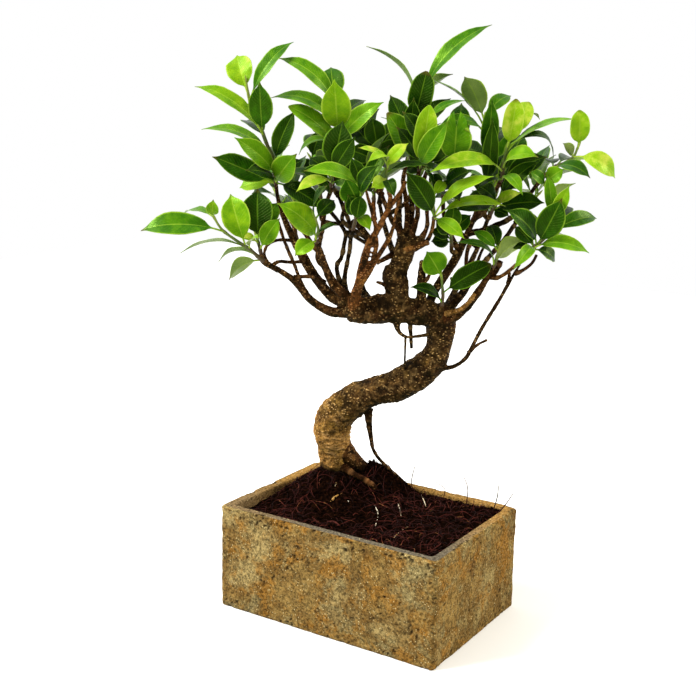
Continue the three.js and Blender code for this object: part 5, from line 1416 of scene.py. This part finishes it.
def bark_point(at, name, travelled, station):
    """How far a point of old bark stands proud, and its light, rust, pale and darkness values: painted shade
    in its hollows and darkening near the soil.
    """
    wrinkling, lumpiness = RELIEF.get(name, PLAIN_RELIEF)
    light, rust = WOOD_TONES.get(name, PLAIN_BRANCH)
    bend = 0.0
    # On the trunk's lower bend the bark is made light and gold: painted light
    if name == "trunk":
        bend = math.exp(-(((travelled - PAINTED_LIT_BEND["middle"]) / PAINTED_LIT_BEND["reach"]) ** 2))
        wrinkling = mix(*PAINTED_LIT_BEND["wrinkling"], bend)
        light = mix(light, PAINTED_LIT_BEND["light"], bend)
        rust = mix(rust, PAINTED_LIT_BEND["rust"], bend)
    _, middle, _, across, other, radius = station
    # Wrinkles are crests of a noise that is short along the branch and long round it
    off_axis = at - middle
    warped = travelled + WRINKLE_WARP * lumps(at, size=10, octaves=2, seed=3.0)
    folded = [
        warped / WRINKLE_SPACING,
        off_axis @ across / WRINKLE_LENGTH,
        off_axis @ other / WRINKLE_LENGTH,
    ]
    crest = max(0.0, 1 - WRINKLE_SHARPNESS * abs(noise.noise(Vector(folded))))
    crest *= ease(0.55 + 1.6 * lumps(at, size=12, octaves=2, seed=5.0))
    knobs = lumps(at, size=13, octaves=3, seed=7.0)
    grain = lumps(at, size=3, octaves=2, seed=2.0)
    lenticel = max(0.0, 1 - to_cell(at, LENTICEL_SPACING) / LENTICEL_REACH)
    relief = lumpiness * knobs + GRAIN_HEIGHT * grain + LENTICEL_HEIGHT * lenticel
    height = min(1.0, radius / FULL_RELIEF_RADIUS) * relief + wrinkling * WRINKLE_HEIGHT * crest
    dotted = LENTICEL_PALENESS * lenticel * ease(0.6 + lumps(at, size=7, octaves=2, seed=9.0))
    pale = min(PALEST, dotted + WRINKLE_PALENESS * wrinkling**2 * crest**2)
    hollow = -0.15 - knobs * min(1.4, lumpiness) - 0.5 * grain - 0.3 * wrinkling * crest
    # Near the soil the bark is darker and its pale marks fade
    soil_dark = ease((soil_level(at[0], at[1]) + SOIL_DARK_REACH + 3 * grain - at[2]) / SOIL_DARK_REACH)
    # The hollows between knobs and wrinkles are painted dark as painted shade, less on the bend painted lit
    # gold
    hollow_shade_and_soil_dark = min(DARKEST_HOLLOW_SHADE, max(0.0, 2.2 * hollow)) * (1 - 0.75 * bend)
    return height, (light, rust, pale * (1 - soil_dark), max(soil_dark, hollow_shade_and_soil_dark))


def bark_skin(names):
    """Thick wood grown together, with wrinkles, knobs and lenticels raised on it."""
    core = Shell()
    samples = []
    for name in names:
        made = stations(route_curve(name), route_thicknesses(name), TRUNK_STEP)
        core.add_tube(rings_of(made, TRUNK_SIDES))
        travelled = 0.0
        for i, station in enumerate(made):
            if i:
                travelled += float(np.linalg.norm(station[1] - made[i - 1][1]))
            samples.append([name, travelled, station])
    skin = remeshed(core.mesh("bark_core"), BARK_VOXEL)
    places = read_vertices(skin, "co") / MM
    normals = read_vertices(skin, "normal")
    tree = searchable([station[1] for _, _, station in samples])
    values = {"light": [], "rust": [], "pale": [], "hollow_shade_and_soil_dark": []}
    for i, (at, normal) in enumerate(zip(places, normals)):
        near = [samples[found[1]] for found in tree.find_n(at, 8)]
        name, travelled, station = min(near, key=lambda s: np.linalg.norm(at - s[2][1]) / s[2][5])
        travelled += float((at - station[1]) @ station[2])
        height, looks = bark_point(at, name, travelled, station)
        places[i] = at + normal * (height - BARK_SINK)
        for kept, value in zip(values.values(), looks):
            kept.append(value)
    skin.vertices.foreach_set("co", (places * MM).astype(np.float32).ravel())
    write_values(skin, values)
    return skin


def branch_shell(names):
    """Thin wood as tubes with a swollen foot, knots and rings."""
    shell = Shell("light", "rust", "pale", "hollow_shade_and_soil_dark")
    routes = [(name, route_curve(name), route_thicknesses(name)) for name in names]
    for plan in SHOOT_PLANS:
        if "from" in plan:
            branch, share = plan["from"]
            points = twig_points(branch, share, *plan["stem"][:2])
            routes.append((branch, Curve(points), TWIG_THICKNESS))
    for name, curve, thicknesses in routes:
        draw = random.Random(name + str(len(shell.points)))
        length = curve.length()
        seed = draw.uniform(0, 40)
        light, rust = WOOD_TONES.get(name, PLAIN_BRANCH)
        knots = [draw.uniform(0.1, 1) for _ in range(int(length / KNOT_SPACING))]

        def near_knots(share):
            return [math.exp(-(((share - knot) * length / KNOT_REACH) ** 2)) for knot in knots]

        def relief(station, angle):
            share, at, _, _, _, radius = station
            foot = FOOT_SWELL * radius * math.exp(-share * length / FOOT_REACH)
            grain = lumps(at + [math.cos(angle) * 3, math.sin(angle) * 3, seed], size=4, octaves=2)
            return foot + KNOT_RISE * radius * sum(near_knots(share)) + GRAIN_SHARE * radius * grain

        made = stations(curve, thicknesses, BRANCH_STEP)
        shares = np.array([station[0] for station in made])
        lights = light + LIGHT_DRIFT * np.sin(seed + shares * 7)
        pales = np.array([KNOT_PALENESS * max(near_knots(share), default=0) for share in shares])
        rings = rings_of(made, BRANCH_SIDES, relief)
        shell.add_tube(rings, light=lights[:, None], rust=rust, pale=pales[:, None])
    return shell


# Trough


def outline(cell):
    """Points round the trough's outer wall and the way each faces: [x, y, facing x, facing y]."""
    points = []
    reach_x = POT_LENGTH / 2 - POT_CORNER
    reach_y = POT_WIDTH / 2 - POT_CORNER
    corners = ((1, 1, 0), (-1, 1, 90), (-1, -1, 180), (1, -1, 270))
    steps = ((-1, 0), (0, -1), (1, 0), (0, 1))
    for index, (sign_x, sign_y, first) in enumerate(corners):
        for turn in QUARTER_TURN:
            angle = math.radians(first + turn)
            faces_x, faces_y = math.cos(angle), math.sin(angle)
            x = sign_x * reach_x + POT_CORNER * faces_x
            y = sign_y * reach_y + POT_CORNER * faces_y
            points.append([x, y, faces_x, faces_y])
        run = 2 * (reach_x if index % 2 == 0 else reach_y)
        cells = round(run / cell)
        step_x, step_y = steps[index]
        for i in range(1, cells):
            gone = run * i / cells
            points.append([x + step_x * gone, y + step_y * gone, faces_x, faces_y])
    return points


def wall_profile():
    """The wall's section from the underside's edge over the rim to the floor: [inset, height, part]."""
    wear = POT_EDGE_WEAR
    turns = [math.radians(turn) for turn in WEAR_TURN]
    worn = [[wear * (1 - math.sin(turn)), wear * (1 - math.cos(turn))] for turn in turns]
    rows = round((POT_HEIGHT - 2 * wear) / STONE_CELL)
    profile = [[inset, rise, "outside"] for inset, rise in worn]
    profile += [[0, mix(wear, POT_HEIGHT - wear, row / rows), "outside"] for row in range(1, rows)]
    profile += [[inset, POT_HEIGHT - rise, "outside"] for inset, rise in reversed(worn)]
    for row in range(1, RIM_ROWS + 1):
        profile.append([mix(wear, POT_WALL - RIM_BEVEL, row / RIM_ROWS), POT_HEIGHT, "rim"])
    profile.append([POT_WALL, POT_HEIGHT - RIM_BEVEL, "rim"])
    profile += [[POT_WALL, height, "inside"] for height in [*INSIDE_ROWS, POT_FLOOR]]
    return profile


def rim_gold(x, y):
    """How golden the rim is: the near walls' is worn grey, the far walls' and the left end's are golden,
    partly sandy stone and partly painted light.
    """
    return min(1.0, 0.12 + ease(y / POT_WIDTH + 0.5) * 0.9 + 0.35 * ease(-2 * x / POT_LENGTH))


def rough_wall(at):
    """How far the outer wall stands back at a place, and how deep in a pit the place is."""
    height = at[2]
    to_edge = min(height, POT_HEIGHT - height)
    calm = mix(CALM_EDGE, 1, ease(to_edge / CALM_REACH))
    broad = lumps(at, size=26, octaves=4, seed=3.0)
    middle = lumps(at, size=6, octaves=3, seed=5.0)
    cell = to_cell(at, PIT_SPACING) + 0.12 * lumps(at, size=2, octaves=2, seed=8.0)
    clusters = lumps(at, size=24, octaves=3, seed=9.0) + 0.5 * ease(1 - to_edge / 12) - 0.22
    pit = ease((PIT_REACH - cell) / 0.1) * ease(clusters / 0.16)
    chips = max(0.0, lumps(at, size=8, octaves=3, seed=11.0) - 0.12)
    chip = chips * CHIP_DEPTH * ease(1 - to_edge / CHIP_REACH)
    sink = calm * (WALL_SET_BACK + BROAD_WAVE * broad + SMALL_WAVE * middle) + PIT_DEPTH * pit + chip
    return (max(-PROUDEST_STONE, sink) if height > 0 else 0.0), pit


def make_trough():
    shell = Shell("pit", "rim", "gold")
    ring = outline(STONE_CELL)
    rings = []
    pits = []
    rims = []
    golds = [[rim_gold(x, y) for x, y, _, _ in ring]]
    for inset, height, part in wall_profile():
        stretch_x = 1 - 2 * inset / POT_LENGTH
        stretch_y = 1 - 2 * inset / POT_WIDTH
        row = []
        row_pits = []
        for x, y, faces_x, faces_y in ring:
            at = [x * stretch_x, y * stretch_y, height]
            sink = 0.0
            pit = 0.0
            if part == "outside":
                sink, pit = rough_wall(at)
            elif part == "rim":
                dents = RIM_DENT * abs(lumps(at, size=7, octaves=3, seed=2.0))
                at[2] -= dents + RIM_GRAIN * abs(lumps(at, size=2.5, octaves=2, seed=6.0))
            elif height > SOIL_LEVEL - ROUGH_INSIDE:
                sink = 0.25 * lumps(at, size=5, octaves=3, seed=4.0)
            row.append([at[0] - faces_x * sink, at[1] - faces_y * sink, at[2]])
            row_pits.append(pit)
        rings.append(row)
        pits.append(row_pits)
        rims.append([1.0 if part != "outside" else 0.0])
    shell.add_tube(np.array(rings), pit=np.array(pits), rim=np.array(rims), gold=np.array(golds))
    shell.piece("trough", "stone", [stone_look()], ["pot"])


# Soil and what lies on it

HALF_LENGTH = POT_LENGTH / 2 - POT_WALL
HALF_WIDTH = POT_WIDTH / 2 - POT_WALL
TRUNK_FOOT = place([-20, 95, 0])
HEAP_PLACES = [(place(heap["at"]), heap["rise"], heap["spread"]) for heap in HEAPS]


def soil_level(x, y):
    """The soil's height, heaped round the trunk's foot, before its crumbs."""
    heaped = sum(
        rise * math.exp(-(math.hypot(x - middle[0], y - middle[1]) / spread) ** 2)
        for middle, rise, spread in HEAP_PLACES
    )
    to_wall = min(POT_LENGTH / 2 - abs(x), POT_WIDTH / 2 - abs(y)) - POT_WALL
    slope = 2 * SOIL_RISE_RIGHT * x / POT_LENGTH + 2 * SOIL_RISE_FAR * y / POT_WIDTH
    return SOIL_LEVEL + slope + heaped * min(1, SOIL_HEAP_AT_WALL + to_wall / SOIL_SLOPE)


def soil_surface(x, y):
    """The soil's height with its clods and its grains."""
    at = [x, y, 0]
    clods = CLOD_HEIGHT * lumps(at, size=11, octaves=3, seed=8.0)
    grains = SOIL_GRAIN_HEIGHT * lumps(at, size=3.2, octaves=3, seed=1.0)
    return soil_level(x, y) + clods + grains


def make_soil():
    shell = Shell()
    columns = round(2 * HALF_LENGTH / SOIL_CELL)
    rows = round(2 * HALF_WIDTH / SOIL_CELL)
    points = []
    for row in range(rows + 1):
        for column in range(columns + 1):
            x = mix(-HALF_LENGTH, HALF_LENGTH, column / columns)
            y = mix(-HALF_WIDTH, HALF_WIDTH, row / rows)
            points.append([x, y, soil_surface(x, y)])
    faces = []
    for row in range(rows):
        for column in range(columns):
            corner = row * (columns + 1) + column
            faces.append((corner, corner + 1, corner + columns + 2, corner + columns + 1))
    last_row = rows * (columns + 1)
    border = list(range(columns))
    border += [row * (columns + 1) + columns for row in range(rows)]
    border += [last_row + column for column in range(columns, 0, -1)]
    border += [row * (columns + 1) for row in range(rows, 0, -1)]
    low = len(points)
    points += [[*points[index][:2], POT_FLOOR + CLEARANCE] for index in border]
    for i, index in enumerate(border):
        following = (i + 1) % len(border)
        faces.append((index, low + i, low + following, border[following]))
    faces.append(tuple(range(low + len(border) - 1, low - 1, -1)))
    shell.add(points, faces)
    shell.piece("soil_bed", "soil", [soil_look()], ["soil"])


def on_soil(across, height):
    """Where the eye sees the soil at a place of the tree's front view, and its depth there, if it does."""
    for step in range(DEPTH_STEPS):
        depth = FIRST_DEPTH + step * DEPTH_STEP
        at = place([across, height, depth])
        inside = abs(at[0]) < HALF_LENGTH and abs(at[1]) < HALF_WIDTH
        if inside and at[2] < soil_surface(at[0], at[1]):
            return at, depth
    return None, None


def make_crumbs():
    """Loose lumps of soil."""
    draw = random.Random(CRUMB_SEED)
    shell = Shell()
    ball = bmesh.new()
    bmesh.ops.create_icosphere(ball, subdivisions=1, radius=1)
    corners = np.array([vertex.co for vertex in ball.verts])
    faces = [tuple(vertex.index for vertex in face.verts) for face in ball.faces]
    ball.free()
    for _ in range(CRUMBS):
        x = draw.uniform(-1, 1) * (HALF_LENGTH - CRUMB_MARGIN)
        y = draw.uniform(-1, 1) * (HALF_WIDTH - CRUMB_MARGIN)
        radius = mix(*CRUMB_RADIUS, draw.random() ** 2.5)
        at = np.array([x, y, soil_surface(x, y) + 0.3 * radius])
        stretch = [radius * draw.uniform(*CRUMB_STRETCH) for _ in range(3)]
        knobs = np.array([draw.uniform(*CRUMB_KNOBS) for _ in corners])
        shell.add(at + corners * stretch * knobs[:, None], faces)
    shell.piece("soil_crumbs", "soil", [soil_look()])


def fibre_rings(points, thickness):
    curve = Curve(points)
    length = curve.length()
    count = max(4, int(length / FIBRE_STEP))
    return rings_of(stations(curve, thickness, length / count), FIBRE_SIDES)


def fibre_points(draw):
    """A fibre's places, wandering over the soil and arching up from it."""
    x = draw.uniform(-1, 1) * (HALF_LENGTH - FIBRE_MARGIN)
    y = draw.uniform(-1, 1) * (HALF_WIDTH - FIBRE_MARGIN)
    heading = draw.uniform(0, 2 * math.pi)
    span = draw.uniform(*FIBRE_LENGTH) / (FIBRE_POINTS - 1)
    turn = draw.uniform(-FIBRE_TURN, FIBRE_TURN)
    arch = draw.uniform(0.2, 1.0) ** 2 * FIBRE_ARCH
    limit_x = HALF_LENGTH - FIBRE_LIMIT
    limit_y = HALF_WIDTH - FIBRE_LIMIT
    points = []
    for i in range(FIBRE_POINTS):
        px = min(limit_x, max(-limit_x, x))
        py = min(limit_y, max(-limit_y, y))
        rise = arch * math.sin(math.pi * i / (FIBRE_POINTS - 1))
        points.append(np.array([px, py, soil_surface(px, py) + CLEARANCE + rise]))
        x += math.cos(heading) * span
        y += math.sin(heading) * span
        heading += turn + draw.uniform(-FIBRE_KINK, FIBRE_KINK)
    return points


def make_fibres():
    """Coir fibres over the soil, lying or arching a little, most of them away from the trunk."""
    draw = random.Random(FIBRE_SEED)
    shell = Shell("tone")
    for _ in range(FIBRES):
        points = fibre_points(draw)
        if np.linalg.norm(points[0] - points[-1]) < SHORTEST_FIBRE:
            continue
        if draw.random() > 0.15 + ease(np.linalg.norm(points[0][:2] - TRUNK_FOOT[:2]) / BARE_SOIL):
            continue
        if min(np.linalg.norm(a - b) for a, b in zip(points, points[1:])) < SHORTEST_SPAN:
            continue
        thick = draw.uniform(*FIBRE_THICKNESS)
        tone = draw.choice(FIBRE_TONES)
        shell.add_tube(fibre_rings(points, [thick, thick, thick * 0.5]), tone=tone)
    shell.piece("coir_fibres", "soil", [fibre_look()])


def make_strays():
    """Roots, hairs and chips that stand out on the soil."""
    shell = Shell("tone")
    for thickness, tone, standing, seen in STRAYS:
        first, depth = on_soil(*seen[0])
        if first is None:
            continue
        points = [first + [0, 0, -0.5]]
        for across, height in seen[1:]:
            if standing:
                points.append(place([across, height, depth]))
            else:
                lying, _ = on_soil(across, height)
                if lying is not None:
                    points.append(lying + [0, 0, thickness * 0.4])
        if len(points) > 1:
            shell.add_tube(fibre_rings(points, [thickness, thickness, thickness * 0.6]), tone=tone)
    shell.piece("loose_roots", "soil", [fibre_look()])


# Stage, camera and light


def make_stage():
    floor_mesh = bpy.data.meshes.new("floor")
    corners = [(x * FLOOR_REACH, y * FLOOR_REACH, 0) for x, y in ((-1, -1), (1, -1), (1, 1), (-1, 1))]
    floor_mesh.from_pydata(corners, [], [(0, 1, 2, 3)])
    look = Look("studio_floor", Roughness=1.0, Specular_IOR_Level=0.0)
    look.set("Base Color", FLOOR_COLOUR)
    floor_mesh.materials.append(look.material)
    floor = bpy.data.objects.new("floor", floor_mesh)
    bpy.context.scene.collection.objects.link(floor)
    world = bpy.data.worlds.new("studio")
    world.use_nodes = True
    world.node_tree.nodes["Background"].inputs["Color"].default_value = (1, 1, 1, 1)
    world.node_tree.nodes["Background"].inputs["Strength"].default_value = 1.0
    bpy.context.scene.world = world
    bpy.context.scene.view_settings.view_transform = "Standard"


def make_light(name, at, power, size, colour):
    """An area light that shines on the tree."""
    data = bpy.data.lights.new(name, "AREA")
    data.energy = power
    data.size = size
    data.color = colour
    light = bpy.data.objects.new(name, data)
    light.location = at
    light.rotation_mode = "QUATERNION"
    light.rotation_quaternion = (Vector(LIT_PLACE) - Vector(at)).to_track_quat("-Z", "Y")
    bpy.context.scene.collection.objects.link(light)


def make_camera():
    azimuth, elevation, roll = CAMERA_AZIMUTH, CAMERA_ELEVATION, CAMERA_ROLL
    level = math.cos(elevation)
    back = Vector((math.sin(azimuth) * level, -math.cos(azimuth) * level, math.sin(elevation)))
    right = Vector((math.cos(azimuth), math.sin(azimuth), 0))
    up = back.cross(right)
    tilted_right = right * math.cos(roll) + up * math.sin(roll)
    tilted_up = up * math.cos(roll) - right * math.sin(roll)
    data = bpy.data.cameras.new("camera")
    data.sensor_width = SENSOR
    data.lens = SENSOR * FOCAL_SHARE
    camera = bpy.data.objects.new("camera", data)
    turn = Matrix((tilted_right, tilted_up, back)).transposed().to_4x4()
    camera.matrix_world = Matrix.Translation(Vector(CAMERA_AT) * MM) @ turn
    bpy.context.scene.collection.objects.link(camera)
    bpy.context.scene.camera = camera


make_camera()
make_stage()
make_light("key", **KEY_LIGHT)
make_light("warm_back", **BACK_LIGHT)

make_trough()
make_soil()
make_crumbs()
make_fibres()
make_strays()

bark = bark_look()
make_piece(bark_skin(TRUNK_ROUTES), "trunk", [bark], ["wood"])
thin = [name for name in WOOD if name not in TRUNK_ROUTES]
branch_shell(thin).piece("branches", "bark", [bark], ["wood"])

leaf_looks = [leaf_look(), stem_look()]
for plan in SHOOT_PLANS:
    make_shoot(plan, leaf_looks)
